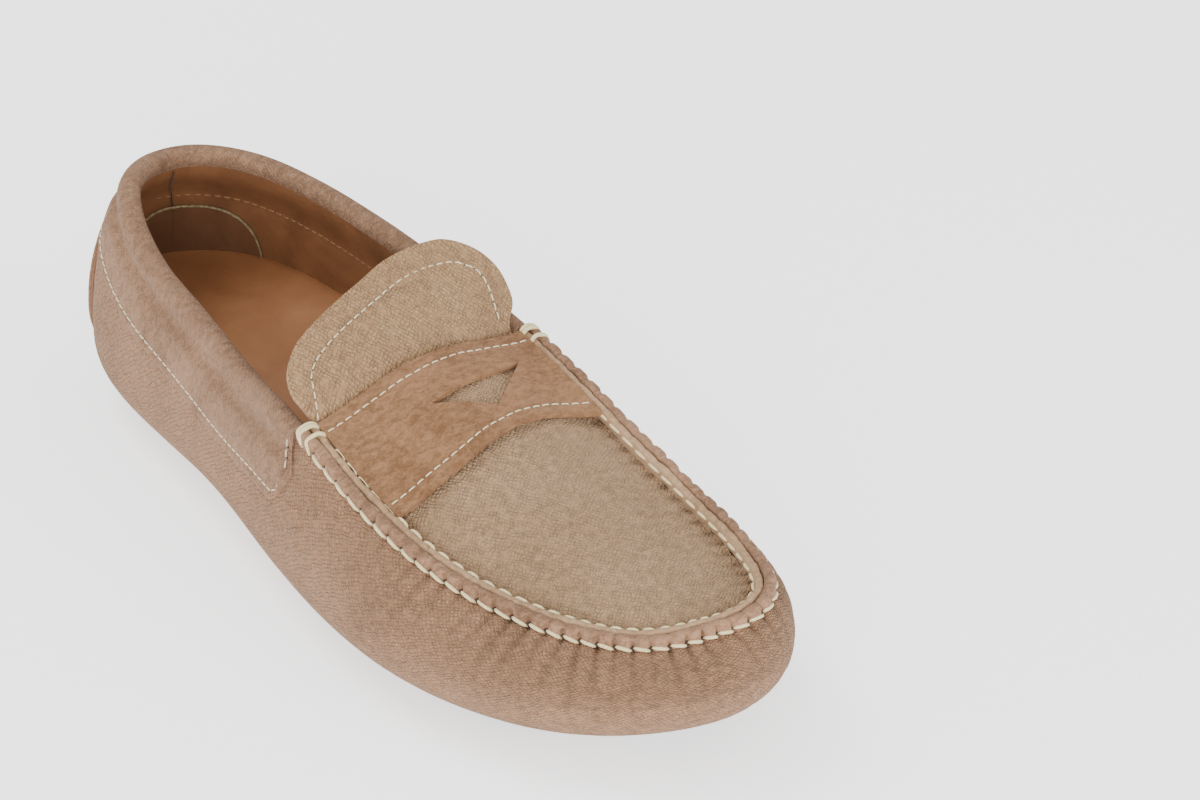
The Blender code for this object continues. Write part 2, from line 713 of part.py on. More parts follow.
def make_pad(name, collection, cutters):
    """One rubber pad with its studs."""
    start, end = [share * LENGTH - HEEL_CENTRE for share in PADS[name]]
    ends = 1 - np.cos(np.linspace(0, math.pi / 2, 6))
    length = min(PAD_ROUND, (end - start) / 2)
    near = start + length * ends
    far = end - length * ends[::-1]
    count = max(int((far[0] - near[-1]) / STUD_PITCH), 1)
    between = np.linspace(near[-1], far[0], count + 1)[1:-1]
    sections = [pad_section(x, start, end) for x in np.unique(np.concatenate([near, between, far]).round(6))]
    pad = new_piece(name, loft(name, sections, ring=True), RUBBER, collection)
    centre = {"sole_heel": (0.0, 0.0), "sole_forefoot": FOREFOOT_REST}.get(name)
    if centre is None:
        return
    joined = pad.modifiers.new("studs", "BOOLEAN")
    joined.operation = "UNION"
    joined.object = make_studs(name + "_studs", stud_places(start, end, centre), cutters)


def main():
    for old in list(bpy.data.objects):
        bpy.data.objects.remove(old)
    shoe = bpy.data.collections.new("driving_moccasin")
    cutters = bpy.data.collections.new("cutters")
    bpy.context.scene.collection.children.link(shoe)
    bpy.context.scene.collection.children.link(cutters)
    make_upper(shoe)
    make_collar(shoe)
    make_seam_ridge(shoe)
    make_apron(shoe)
    make_strap(shoe, cutters)
    make_tongue(shoe)
    make_heel_tab(shoe)
    make_insole(shoe)
    for name in PADS:
        make_pad(name, shoe, cutters)


main()
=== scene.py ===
"""The looks of a right-foot driving moccasin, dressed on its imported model.

The toe points along +X, the inner side of the foot is +Y and the origin is on the floor under the heel.
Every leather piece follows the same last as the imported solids, so each one lies where its solid is.
"""

import math

import bmesh
import bpy
import numpy as np
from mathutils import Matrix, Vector


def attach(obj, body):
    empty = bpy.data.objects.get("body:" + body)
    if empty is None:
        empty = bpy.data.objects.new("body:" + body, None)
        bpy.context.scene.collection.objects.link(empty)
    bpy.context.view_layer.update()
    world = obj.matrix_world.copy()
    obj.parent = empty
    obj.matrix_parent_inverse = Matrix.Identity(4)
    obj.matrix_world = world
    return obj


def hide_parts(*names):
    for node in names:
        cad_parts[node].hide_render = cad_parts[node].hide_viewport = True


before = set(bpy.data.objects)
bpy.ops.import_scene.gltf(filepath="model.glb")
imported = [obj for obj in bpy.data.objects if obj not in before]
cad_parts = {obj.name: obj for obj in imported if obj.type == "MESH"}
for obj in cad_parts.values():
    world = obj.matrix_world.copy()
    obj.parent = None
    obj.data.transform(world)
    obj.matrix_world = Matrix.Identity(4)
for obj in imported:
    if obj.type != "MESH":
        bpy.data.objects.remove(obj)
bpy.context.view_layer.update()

# Driving sizes of the last, in metres
LENGTH = 0.288
BALL_WIDTH = 0.103
COLLAR_HEIGHT = 0.066
INSTEP_RISE = 0.0072
HEEL_CENTRE = 0.046
SOLE_HEIGHT = 0.0050
TOE_SPRING = 0.0090
HEEL_SPRING = 0.0040
ARCH_RISE = 0.0025
HEEL_SPRING_END = 0.10
TOE_SPRING_START = 0.74
ARCH = (0.25, 0.53)

# Leather
WALL = 0.0022
LINING = 0.0007
APRON = 0.0018
TONGUE = 0.0020
STRAP = 0.0016
HEEL_TAB = 0.0016
INSOLE = 0.0030
INSOLE_LEVEL = 0.0308
INSOLE_WEDGE = (0.22, 0.62)
INSOLE_HOLLOW = 0.055
GAP = 0.0003
WELD = 0.00001            # vertices nearer than this become one

# Wall of the upper, and insole
WALL_UNDER_COLLAR = 0.45  # how far the wall ends below the rim, as a share of the collar's depth
UNDERSIDE_STEPS = (1.0, 0.7, 0.4)    # rows on its flat underside, as shares of the way in to its middle
INSOLE_SHEET = 0.0014     # thickness of the part of the insole that is built
INSOLE_EDGE_DROP = 0.0006
INSOLE_PRESS = 0.0002     # how far its edge is pressed into the lining
INSOLE_WAVE = 0.0003

# Collar
COLLAR_DEPTH = 0.0200
COLLAR_PROUD = 0.0008
RIM = 0.0066
COLLAR_CORNER = 0.0050
COLLAR_TIP = 0.0085
COLLAR_END = 0.0020
BAND_SLANT = 0.0080       # how far the foot of the band's front ends reaches forward
RIM_TURN_IN = 0.0021      # how far the suede goes on down inside the rim
PADDING_DEPTH = 0.0176    # middle of the rim down to the stitches below the padding
PADDING_START = 0.0040    # middle of the rim down to where the padding begins to thin
BAND_FRONT = 0.016        # length of the band's front ends that slants
BAND_MARGIN = 0.0026      # from the band's edge to its stitches
BAND_DENT = 0.00034       # how far the stitches press the band in
ROLL_HOLLOW = (0.00185, 0.0060, 0.0023)    # depth, place below the rim and half width
BAND_ROLL_START = 0.006   # depth beyond that of its front ends over which the hollow comes in
BAND_WAVE = 0.00030
BAND_STITCH_TOP = 0.0020  # middle of the rim down to the first stitches at the front ends
BAND_STITCH_LIFT = COLLAR_PROUD - 0.00030
RIM_WAVE = 0.00025
COLLAR_STEP = 0.0016      # distance between its sections

# Cut edge of the suede inside the rim: distance below the rim's middle, and offset from the wall's outside
RIM_EDGE = (
    (RIM_TURN_IN, COLLAR_PROUD - RIM + 0.0001),
    (RIM_TURN_IN + 0.0004, COLLAR_PROUD - RIM + 0.0012),
    (RIM_TURN_IN - 0.0005, -WALL / 2),
)

# Raised seam
RIDGE_WIDTH = 0.0050
RIDGE_HEIGHT = 0.0036
SPLIT = 0.50              # share of the seam's width that is the wall's leather
SHELF = RIDGE_WIDTH + GAP
RIDGE_FOOT = -0.0009      # how far its layers reach below the wall's top edge
SCALLOP = 0.00075         # swell of its outer side between two stitches
PINCH = 0.0009            # half length of the pinch at a stitch
LAYER_GAP = 0.03          # share of its width between its two layers
LAYER_OVER = 0.02         # share of its width that it stands out over the wall
APRON_LAYER = 0.95        # height of the apron's layer, as a share of the wall's
STITCHES_START = 0.0085   # from the throat to the first heavy stitch

# Apron
APRON_TUCK = 0.014        # how far it goes on against the seam, as a share of its half width
APRON_PUFF = 0.0007
APRON_PULL = 0.00055      # how far a stitch pulls it down
APRON_PULL_SIZE = (0.0013, 0.0032)    # half length of that pull, and its reach inwards
APRON_EDGE = 0.0004       # how far its edge lies lower
APRON_EDGE_REACH = 0.0015
APRON_WAVE = 0.00035

# Strap and tongue
STRAP_LIFT = 0.0012
STRAP_END = 0.0001        # nearer to the raised seam than the solid's, to touch it
STRAP_CROWN = 0.0006
STRAP_WAVE = 0.00035
TONGUE_LENGTH = 0.0325
TONGUE_RISE = 0.0205
TONGUE_WIDTH = 0.0750
TONGUE_SKEW = 0.0165
TONGUE_WAVE = 0.00035

# Patch on the lining at the heel, by place along the widest line and distance below the rim's middle
PATCH_PLACE = -0.0150
PATCH_HALF = 0.0250
PATCH_TOP = 0.0215
PATCH_DROP = 0.0200
PATCH_SEAM = -0.0085
PATCH_LIFT = 0.0005       # how far its face stands off the lining
PATCH_ROUND = 0.70        # below 1 the outline is squarer than an ellipse
PATCH_CORD = 0.00038

# Lining
LINING_FOOT = -0.55       # share of the profile at which it ends, under the insole
LINING_SAG = 0.0003
LINING_DENT = 0.0003      # how far its stitches press it in
LINING_SEAM_LIFT = 0.00030
LINING_SEAM_SIZE = 0.00025
LINING_SEAM_WAVE = 0.0006

# Heel tab
TAB_WIDTH = 0.0500
TAB_TAPER = 0.20
TAB_FOOT = -0.55
TAB_GAPE = 0.0021         # how far its sides stand off the wall
TAB_LIFT = 0.0002         # how far all of it does
TAB_SUEDE = 0.0006        # thickness of its outer layer
TAB_LENGTH = 0.045

# Fine thread
FINE_THREAD = 0.00022
FINE_PITCH = 0.0030
FINE_GAP = 0.22           # share of the pitch that is left open
STRAP_SEAMS = (0.115, 0.885)    # shares of the strap's depth
TONGUE_MARGIN = 0.0062    # from the tongue's edge to its stitches
TAB_SEAM = 0.86           # share of the heel tab's half width
BORDER_START = 0.029      # from the front of the tongue, under the apron, back to its border's ends
BORDER_STEP = 0.0012      # between points of its stitch line that goes on under the strap
PINHOLE = FINE_THREAD * 1.25
PINHOLE_DEPTH = 0.0006

# Heavy thread
THICK_THREAD = 0.00054
THICK_PITCH = 0.0061
INNER_THREAD = THICK_THREAD * 0.80
TACK_THREAD = THICK_THREAD * 1.15
STITCH_SINK = 0.9         # depth of a stitch's ends, as a share of its bow
OUTER_BOW = 0.00062
INNER_BOW = 0.00050
OUTER_STITCH = ((0.05, -0.0004, 0.00095), (0.95, -0.0006, 0.00015))    # ends: share of pitch, inset, height
INNER_STITCH = ((0.52, 0.0), (1.36, 0.0002))              # ends: share of the pitch, and drop
INNER_STITCH_INSET = RIDGE_WIDTH * 0.98
INNER_STITCH_PLACES = (0.17, 0.23, 0.32, 0.365, 0.49)     # along the widest line, from the heel
INNER_STITCH_HEIGHTS = (0.88, 0.76, 0.74, 0.42, 0.60)     # shares of the seam's height
STITCH_PIT = ((0.0009, 0.0002), (-0.00035, 0.0006))       # bottom and mouth: inset and height
PIT_SIZE = 0.00062

# Bar tack: distances of its strands from the throat, and a strand's points from the inner side of the
# raised seam over it to the outer one, each with its distance further on, inset and height
TACK_STRANDS = (0.0006, 0.0018, 0.0056)
TACK_POINTS = (
    (0.0000, RIDGE_WIDTH + 0.0004, 0.0006),
    (0.0000, RIDGE_WIDTH + 0.0002, RIDGE_HEIGHT * 0.75),
    (0.0000, RIDGE_WIDTH * 0.75, RIDGE_HEIGHT + 0.0006),
    (0.0000, RIDGE_WIDTH * 0.35, RIDGE_HEIGHT + 0.0006),
    (0.0000, -0.0004, RIDGE_HEIGHT * 0.80),
    (0.0010, -0.0006, RIDGE_HEIGHT * 0.30),
    (0.0010, -0.0002, -0.0008),
)

# The last, one row a section, from the back of the heel to the tip of the toe. Plan sizes are shares of
# LENGTH (x) and BALL_WIDTH (centre, half, inset), heights are shares of COLLAR_HEIGHT.
COLUMNS = ("x", "centre", "half", "girth", "roll",
           "top_outer", "top_inner", "inset_outer", "inset_inner", "turn", "crown")
SECTIONS = (
    (0.000, 0.005, 0.000, 0.34, 0.17, 1.030, 1.030, 0.110, 0.110, 36, 1.00),
    (0.013, 0.003, 0.130, 0.34, 0.17, 1.040, 1.020, 0.112, 0.090, 36, 1.00),
    (0.055, 0.000, 0.264, 0.33, 0.18, 1.025, 0.998, 0.110, 0.065, 36, 1.00),
    (0.140, -0.004, 0.347, 0.31, 0.19, 0.905, 0.972, 0.105, 0.040, 36, 1.00),
    (0.270, -0.011, 0.376, 0.30, 0.20, 0.808, 0.948, 0.090, 0.025, 38, 1.00),
    (0.400, -0.024, 0.412, 0.30, 0.20, 0.757, 0.895, 0.090, 0.025, 42, 1.00),
    (0.515, -0.036, 0.458, 0.30, 0.20, 0.752, 0.830, 0.105, 0.045, 50, 1.00),
    (0.620, -0.042, 0.492, 0.30, 0.20, 0.656, 0.745, 0.130, 0.078, 58, 0.95),
    (0.720, -0.034, 0.500, 0.30, 0.20, 0.558, 0.650, 0.155, 0.098, 66, 0.80),
    (0.820, -0.009, 0.464, 0.31, 0.20, 0.500, 0.580, 0.165, 0.096, 72, 0.56),
    (0.910, 0.014, 0.370, 0.33, 0.20, 0.480, 0.560, 0.160, 0.075, 75, 0.34),
    (0.975, 0.035, 0.206, 0.36, 0.20, 0.490, 0.555, 0.140, 0.062, 76, 0.16),
    (1.000, 0.050, 0.000, 0.38, 0.20, 0.530, 0.530, 0.115, 0.115, 76, 0.00),
)
THROAT = 6
TOE = len(SECTIONS) - 1
OUTER = -1
INNER = 1

# Front edge of the strap: place across the apron from -1, outer, to 1, inner, and section row
STRAP_FRONT = (
    (-1.00, 7.40),
    (-0.30, 7.34),
    (0.12, 7.22),
    (0.36, 7.18),
    (0.66, 7.20),
    (1.00, 7.32),
)
SLOT = ((-0.22, 6.58), (0.74, 6.42), (0.24, 6.92))    # corners: place across and section row
SLOT_TOOL_ENDS = (0.030, 0.090)    # heights between which it is cut

# Tongue behind the throat: distance back, rise, width, curve across and lean to the inner side
TONGUE_ROWS = (
    (0.06, 0.05, 0.87, 0.97, 0.00),
    (0.20, 0.22, 0.93, 0.62, -0.05),
    (0.34, 0.36, 1.00, 0.52, 0.06),
    (0.50, 0.50, 0.99, 0.42, 0.18),
    (0.66, 0.65, 0.90, 0.32, 0.38),
    (0.80, 0.79, 0.70, 0.20, 0.70),
    (0.91, 0.90, 0.46, 0.10, 0.98),
    (0.965, 0.965, 0.31, 0.05, 1.08),
    (0.988, 0.988, 0.20, 0.02, 1.12),
    (1.00, 1.00, 0.04, 0.00, 1.14),
)
TONGUE_UNDER = (6.75, 6.50, 6.25, 6.10)
TIP_LINES = 9    # lines across the tongue's tip, too narrow for normals of their own

# Pull of the outer stitches on the wall: section row, depth of the pleats on the outer and inner side
PLEATS = (
    (6.0, 0.10, 0.10),
    (7.0, 0.28, 0.20),
    (8.0, 0.62, 0.45),
    (9.0, 0.95, 0.70),
    (10.0, 1.00, 0.90),
    (11.0, 0.90, 0.90),
    (12.0, 0.80, 0.80),
)
PLEAT_DEPTH = 0.00130
PLEAT_REACH = 0.0190
PLEAT_LEAN = 0.22
PLEAT_WIDTH = (0.00105, 0.085)    # half width at the seam, and what each metre below it adds
PLEAT_END = 0.008         # length over which they fade towards the throat
WALL_CLIMB = 0.034        # usual length of the wall's profile, from the widest line to the top

# Soft hollows and swells in the wall: section row, side, share of the profile, half length and half
# height in metres, turn in degrees, and depth, in which a swell is below zero
CREASES = (
    (5.30, OUTER, 0.30, 0.0300, 0.0050, -12, 0.00060),
    (5.75, OUTER, 0.55, 0.0150, 0.0045, -35, 0.00055),
    (3.60, OUTER, 0.20, 0.0320, 0.0060, 6, 0.00050),
    (4.50, OUTER, -0.05, 0.0380, 0.0060, -4, -0.00045),
    (7.60, OUTER, 0.20, 0.0240, 0.0060, 14, 0.00045),
    (8.60, OUTER, -0.10, 0.0320, 0.0060, 8, -0.00050),
    (10.40, OUTER, 0.10, 0.0240, 0.0050, -8, 0.00040),
    (11.50, OUTER, 0.15, 0.0200, 0.0050, 10, 0.00035),
    (1.60, OUTER, 0.10, 0.0120, 0.0100, 60, 0.00045),
    (5.20, INNER, 0.25, 0.0320, 0.0060, 10, 0.00060),
    (7.20, INNER, 0.20, 0.0300, 0.0060, -10, 0.00045),
    (3.20, INNER, 0.20, 0.0300, 0.0070, 5, 0.00045),
    (9.60, INNER, 0.05, 0.0260, 0.0060, 9, 0.00040),
)


# The last's own shape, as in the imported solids

def unit(vectors):
    """The same directions, with a length of 1."""
    return vectors / np.linalg.norm(vectors, axis=-1, keepdims=True)


def together(*values):
    """Arrays of one shape from numbers and arrays."""
    return np.broadcast_arrays(*[np.asarray(value, float) for value in values])


def column(name):
    """One column of the section table."""
    index = COLUMNS.index(name)
    return np.array([row[index] for row in SECTIONS], float)


def girth_ring():
    """Knots along the closed widest line, and its values: heel, outer side, toe, inner side."""
    order = list(range(TOE + 1)) + list(range(TOE - 1, 0, -1))
    side = np.array([OUTER] * (TOE + 1) + [INNER] * (TOE - 1))

    def pick(outer, inner):
        return np.where(side < 0, column(outer)[order], column(inner)[order])

    values = np.stack([
        column("x")[order] * LENGTH - HEEL_CENTRE,
        (column("centre")[order] + side * column("half")[order]) * BALL_WIDTH,
        column("girth")[order] * COLLAR_HEIGHT,
        column("roll")[order] * COLLAR_HEIGHT,
        pick("top_outer", "top_inner") * COLLAR_HEIGHT,
        pick("inset_outer", "inset_inner") * BALL_WIDTH,
        np.radians(column("turn")[order]),
        column("crown")[order] * INSTEP_RISE,
    ], axis=1)
    plan = values[:, :2]
    gaps = np.linalg.norm(np.roll(plan, -1, axis=0) - plan, axis=1)
    return np.concatenate([[0.0], np.cumsum(gaps)]), values


def spline_bends(knots, values):
    """Second derivatives of the smooth closed curve through the values."""
    steps = np.diff(knots)
    count = len(steps)
    slopes = (np.roll(values, -1, axis=0) - values) / steps[:, None]
    system = np.zeros((count, count))
    for i in range(count):
        system[i, i - 1] += steps[i - 1]
        system[i, i] += 2 * (steps[i - 1] + steps[i])
        system[i, (i + 1) % count] += steps[i]
    return np.linalg.solve(system, 6 * (slopes - np.roll(slopes, 1, axis=0)))


KNOTS, RING = girth_ring()
BENDS = spline_bends(KNOTS, RING)


def ring_at(place):
    """Values of the widest line at places along it, in metres from the back of the heel."""
    place = np.mod(np.atleast_1d(np.asarray(place, float)), KNOTS[-1])
    i = np.clip(np.searchsorted(KNOTS, place, "right") - 1, 0, len(RING) - 1)
    j = (i + 1) % len(RING)
    step = (KNOTS[i + 1] - KNOTS[i])[:, None]
    a = (KNOTS[i + 1] - place)[:, None] / step
    b = 1 - a
    bend = (a ** 3 - a) * BENDS[i] + (b ** 3 - b) * BENDS[j]
    return a * RING[i] + b * RING[j] + bend * step ** 2 / 6


def place_of(row, side):
    """Place along the widest line of a section row, whole or part, on one side."""
    row = np.asarray(row, float)
    index = np.where(np.asarray(side) < 0, row, 2 * TOE - row)
    return np.interp(index, np.arange(len(KNOTS)), KNOTS)


def row_of(place):
    """Section row, and side, of places along the widest line."""
    index = np.interp(np.mod(place, KNOTS[-1]), KNOTS, np.arange(len(KNOTS)))
    return np.where(index <= TOE, index, 2 * TOE - index), np.where(index <= TOE, OUTER, INNER)


THROAT_OUTER = float(place_of(THROAT, OUTER))
THROAT_INNER = float(place_of(THROAT, INNER))


def underside(x):
    """Height of the underside of the wall."""
    share = (np.asarray(x, float) + HEEL_CENTRE) / LENGTH
    toe = np.clip((share - TOE_SPRING_START) / (1 - TOE_SPRING_START), 0, None)
    heel = np.clip((HEEL_SPRING_END - share) / HEEL_SPRING_END, 0, None)
    along = np.clip((share - ARCH[0]) / (ARCH[1] - ARCH[0]), 0, 1)
    arch = ARCH_RISE * np.sin(math.pi * along) ** 2
    return SOLE_HEIGHT + TOE_SPRING * toe ** 2 + HEEL_SPRING * heel ** 2 + arch


def outwards(place):
    """Level unit vectors that point straight out of the widest line."""
    step = 0.0001
    along = unit(ring_at(np.asarray(place) + step)[:, :2] - ring_at(np.asarray(place) - step)[:, :2])
    return np.stack([along[:, 1], -along[:, 0]], axis=1)


def profile(place, share):
    """Reach and height of the wall's outside, and its unit normal, at shares of its profile."""
    values = ring_at(place)
    girth, roll, top, inset, turn = values[:, 2:7].T
    low = underside(values[:, 0] - outwards(place)[:, 0] * roll)
    below = np.clip(-share, 0, 1) * math.pi / 2
    above = np.clip(share, 0, 1) * turn
    lean = inset / (1 - np.cos(turn))
    climb = (top - girth) / np.sin(turn)
    under = share < 0
    reach = np.where(under, -roll * (1 - np.cos(below)), -lean * (1 - np.cos(above)))
    height = np.where(under, girth - (girth - low) * np.sin(below), girth + climb * np.sin(above))
    reach_step = np.where(under, roll * np.sin(below), -lean * np.sin(above))
    height_step = np.where(under, (girth - low) * np.cos(below), climb * np.cos(above))
    size = np.hypot(reach_step, height_step)
    return reach, height, height_step / size, -reach_step / size


def skin(place, share, offset=0.0, rise=0.0):
    """Points on the wall, for places and shares of any one shape: offset is outwards, rise goes on up."""
    place, share, offset, rise = together(place, share, offset, rise)
    flat = place.ravel()
    reach, height, normal_out, normal_up = profile(flat, share.ravel())
    reach = reach + offset.ravel() * normal_out - rise.ravel() * normal_up
    height = height + offset.ravel() * normal_up + rise.ravel() * normal_out
    points = np.column_stack([ring_at(flat)[:, :2] + outwards(flat) * reach[:, None], height])
    return points.reshape(*place.shape, 3)


def climb_length(place):
    """Length of the wall's profile from the widest line up to its top edge, for places of any shape."""
    line = skin(place.ravel(), np.linspace(0, 1, 13)[:, None])
    return np.linalg.norm(np.diff(line, axis=0), axis=2).sum(axis=0).reshape(place.shape)


def collar_depth(place):
    """Depth of the collar's band, rounded off at its two front ends."""
    place = np.mod(np.atleast_1d(np.asarray(place, float)), KNOTS[-1])
    to_end = np.where(place < THROAT_INNER, THROAT_OUTER - place, place - THROAT_INNER) - COLLAR_END
    along = np.clip(to_end / COLLAR_CORNER, 0, 1)
    return COLLAR_TIP + (COLLAR_DEPTH - COLLAR_TIP) * np.sin(along * math.pi / 2)


def level_inset(place, inset, height=0.0):
    """Points moved in, level, from the wall's top edge, and raised."""
    place, inset, height = together(place, inset, height)
    flat = place.ravel()
    edge = skin(flat, 1.0)
    edge[:, :2] -= outwards(flat) * inset.ravel()[:, None]
    edge[:, 2] += height.ravel()
    return edge.reshape(*place.shape, 3)


def apron_surface(row, across):
    """Points on the apron, for rows and places across it of any one shape."""
    row, across = together(row, across)
    outer_place = place_of(row.ravel(), OUTER)
    inner_place = place_of(row.ravel(), INNER)
    outer = level_inset(outer_place, SHELF)
    inner = level_inset(inner_place, SHELF)
    crown = (ring_at(outer_place)[:, 7] + ring_at(inner_place)[:, 7]) / 2
    flat = across.ravel()
    line = outer + (inner - outer) * (flat[:, None] + 1) / 2
    line[:, 2] += crown * np.clip(1 - flat ** 2, 0, 1) ** 1.4
    return line.reshape(*row.shape, 3)


def apron_point(row, across, offset=0.0):
    """Points on the apron, moved off it along its normal."""
    row, across, offset = together(row, across, offset)
    step = 0.02
    forward = apron_surface(row + step, across) - apron_surface(row - step, across)
    sideways = apron_surface(row, across + step) - apron_surface(row, across - step)
    normal = unit(np.cross(forward, sideways))
    return apron_surface(row, across) + normal * offset[..., None]


# Relief that thread and wear leave in the leather

def smooth_step(value):
    """Smooth rise from 0 to 1."""
    value = np.clip(value, 0, 1)
    return value * value * (3 - 2 * value)


def wander(value, seed):
    """Slow, smooth variation between about -1 and 1."""
    total = 0.0
    for k, size in enumerate((1.0, 0.6, 0.35)):
        total = total + size * np.sin(value * (1.0, 2.3, 4.1)[k] + seed * (1.7, 2.9, 0.8)[k])
    return total / 1.95


SEAM_START = THROAT_OUTER + STITCHES_START
SEAM_END = THROAT_INNER - STITCHES_START
HOLE_COUNT = int(round((SEAM_END - SEAM_START) / THICK_PITCH)) + 1
HOLES = np.linspace(SEAM_START, SEAM_END, HOLE_COUNT)


def hole_distance(place, drift=0.0):
    """Distance along the seam to the nearest stitch hole."""
    pitch = HOLES[1] - HOLES[0]
    phase = (place + drift - SEAM_START) / pitch
    nearest = np.clip(np.round(phase), 0, HOLE_COUNT - 1)
    return np.abs(phase - nearest) * pitch, nearest


def pleat_relief(place, below):
    """Depth of the gathers under the outer stitches, for a distance below the seam."""
    lean = below * PLEAT_LEAN * wander(place * 60, 3.0)
    gap, hole = hole_distance(place, lean)
    rows, side = row_of(place)
    table = np.array(PLEATS)
    outer = np.interp(rows, table[:, 0], table[:, 1])
    inner = np.interp(rows, table[:, 0], table[:, 2])
    strength = np.where(side < 0, outer, inner)
    reach = PLEAT_REACH * (0.66 + 0.34 * wander(hole * 2.1, 1.0)) * (0.45 + 0.55 * strength)
    fade = np.exp(-(below / reach) ** 1.5)
    trough = np.exp(-(gap / (PLEAT_WIDTH[0] + PLEAT_WIDTH[1] * below)) ** 2)
    from_throat = np.minimum(place - THROAT_OUTER, THROAT_INNER - place)
    at_ends = smooth_step(from_throat / PLEAT_END)
    depth = PLEAT_DEPTH * strength * (0.80 + 0.35 * wander(hole * 1.3, 5.0))
    return at_ends * fade * depth * (trough - 0.30)


def crease_relief(place, share):
    """Depth of the soft hollows and swells of the wall."""
    depth = np.zeros(np.shape(place))
    for row, side, level, length, height, turn, deep in CREASES:
        centre = float(place_of(row, side))
        along = place - centre
        up = (share - level) * WALL_CLIMB
        c = math.cos(math.radians(turn))
        s = math.sin(math.radians(turn))
        a = (along * c + up * s) / length
        b = (up * c - along * s) / height
        depth = depth + deep * np.exp(-(a ** 2) * 2 - b ** 2)
    return depth


# Meshes

def link_object(name, data):
    """A new object in the scene."""
    made = bpy.data.objects.new(name, data)
    bpy.context.scene.collection.objects.link(made)
    return made


def make_piece(name, vertices, faces, uv=None, shade=None):
    """An object from numpy data. uv and shade have one value a vertex; shade is kept as the hollow attribute,
    how much painted shade the suede finish puts there.
    """
    mesh = bpy.data.meshes.new(name)
    mesh.from_pydata([tuple(v) for v in vertices], [], [tuple(f) for f in faces])
    if uv is not None:
        layer = mesh.uv_layers.new(name="leather")
        index = np.zeros(len(mesh.loops), int)
        mesh.loops.foreach_get("vertex_index", index)
        layer.data.foreach_set("uv", np.asarray(uv, float)[index].ravel())
    if shade is not None:
        # painted shade: the amount by which the suede finish darkens each vertex
        attribute = mesh.attributes.new("hollow", "FLOAT", "POINT")
        attribute.data.foreach_set("value", np.asarray(shade, float))
    return link_object(name, mesh)


def grid_faces(rows, columns, start=0, ring=False, flip=False):
    """Faces of a grid of vertices; ring joins the last column to the first."""
    i, j = np.meshgrid(np.arange(rows - 1), np.arange(columns if ring else columns - 1), indexing="ij")
    i, j = i.ravel(), j.ravel()
    k = (j + 1) % columns
    quads = np.stack([i * columns + j, i * columns + k, (i + 1) * columns + k, (i + 1) * columns + j], axis=1)
    return (quads[:, ::-1] if flip else quads) + start


def finish_mesh(piece, sharp=50):
    """Weld, turn the faces outwards and shade smooth."""
    shape = bmesh.new()
    shape.from_mesh(piece.data)
    bmesh.ops.remove_doubles(shape, verts=shape.verts, dist=WELD)
    bmesh.ops.recalc_face_normals(shape, faces=shape.faces)
    shape.to_mesh(piece.data)
    shape.free()
    piece.data.shade_smooth()
    piece.data.set_sharp_from_angle(angle=math.radians(sharp))
    return piece


def slab(name, top, bottom, uv=None, shade=None, edge=0.0):
    """A closed sheet between two grids of points, with an optional rounded edge."""
    rows, columns = top.shape[:2]
    count = rows * columns
    faces = [grid_faces(rows, columns), grid_faces(rows, columns, count, flip=True)]
    rim = ([(0, j) for j in range(columns)] + [(i, columns - 1) for i in range(1, rows)]
           + [(rows - 1, j) for j in range(columns - 2, -1, -1)] + [(i, 0) for i in range(rows - 2, 0, -1)])
    rim = np.array([i * columns + j for i, j in rim])
    after = np.roll(rim, -1)
    faces.append(np.stack([rim, rim + count, after + count, after], axis=1))
    vertices = np.concatenate([top.reshape(-1, 3), bottom.reshape(-1, 3)])
    uv = None if uv is None else np.concatenate([uv.reshape(-1, 2)] * 2)
    if shade is not None:
        shade = np.concatenate([shade.ravel(), np.zeros(count)])
    piece = make_piece(name, vertices, np.concatenate(faces), uv, shade)
    finish_mesh(piece)
    if edge:
        bevel = piece.modifiers.new("edge", "BEVEL")
        bevel.width = edge
        bevel.segments = 2
        bevel.limit_method = "ANGLE"
        bevel.angle_limit = math.radians(55)
        bevel.harden_normals = False
    return piece


def tube_faces(rings, sides, start):
    """Faces of a closed tube, with fans of faces at both ends."""
    faces = [tuple(f) for f in grid_faces(rings, sides, start, ring=True)]
    faces.append(tuple(range(start, start + sides))[::-1])
    last = start + (rings - 1) * sides
    faces.append(tuple(range(last, last + sides)))
    return faces


def long_body(name, places, columns, around, sharp=50):
    """A closed body through columns of points along it; around is each point's way around its section."""
    points = np.stack(columns, axis=1)
    rows, sides = points.shape[:2]
    along = np.repeat(places[:, None], sides, axis=1)
    uv = np.stack([along, around], axis=-1)
    piece = make_piece(name, points.reshape(-1, 3), tube_faces(rows, sides, 0), uv.reshape(-1, 2))
    return finish_mesh(piece, sharp)


def tubes(name, paths, radius, sides=8, taper=0.55):
    """Closed tubes along several paths, thinner at their ends."""
    vertices = []
    faces = []
    for path in paths:
        path = np.asarray(path, float)
        along = unit(np.gradient(path, axis=0))
        least_followed = np.abs(along).max(axis=0).argmin()
        side = unit(np.cross(along, np.eye(3)[least_followed]))
        up = np.cross(side, along)
        own = radius * (1 - taper * np.abs(np.linspace(-1, 1, len(path))) ** 4)
        start = len(vertices)
        for k in range(len(path)):
            for angle in np.linspace(0, 2 * math.pi, sides, endpoint=False):
                ring = side[k] * math.cos(angle) + up[k] * math.sin(angle)
                vertices.append(path[k] + ring * own[k])
        faces += tube_faces(len(path), sides, start)
    piece = make_piece(name, vertices, faces)
    piece.data.shade_smooth()
    return piece


# Leather pieces

def ring_rows(back_steps, front_steps):
    """Section rows of one side, closer together in front of the throat."""
    return np.concatenate([
        np.linspace(0, THROAT, THROAT * back_steps + 1)[:-1],
        np.linspace(THROAT, TOE, (TOE - THROAT) * front_steps + 1),
    ])


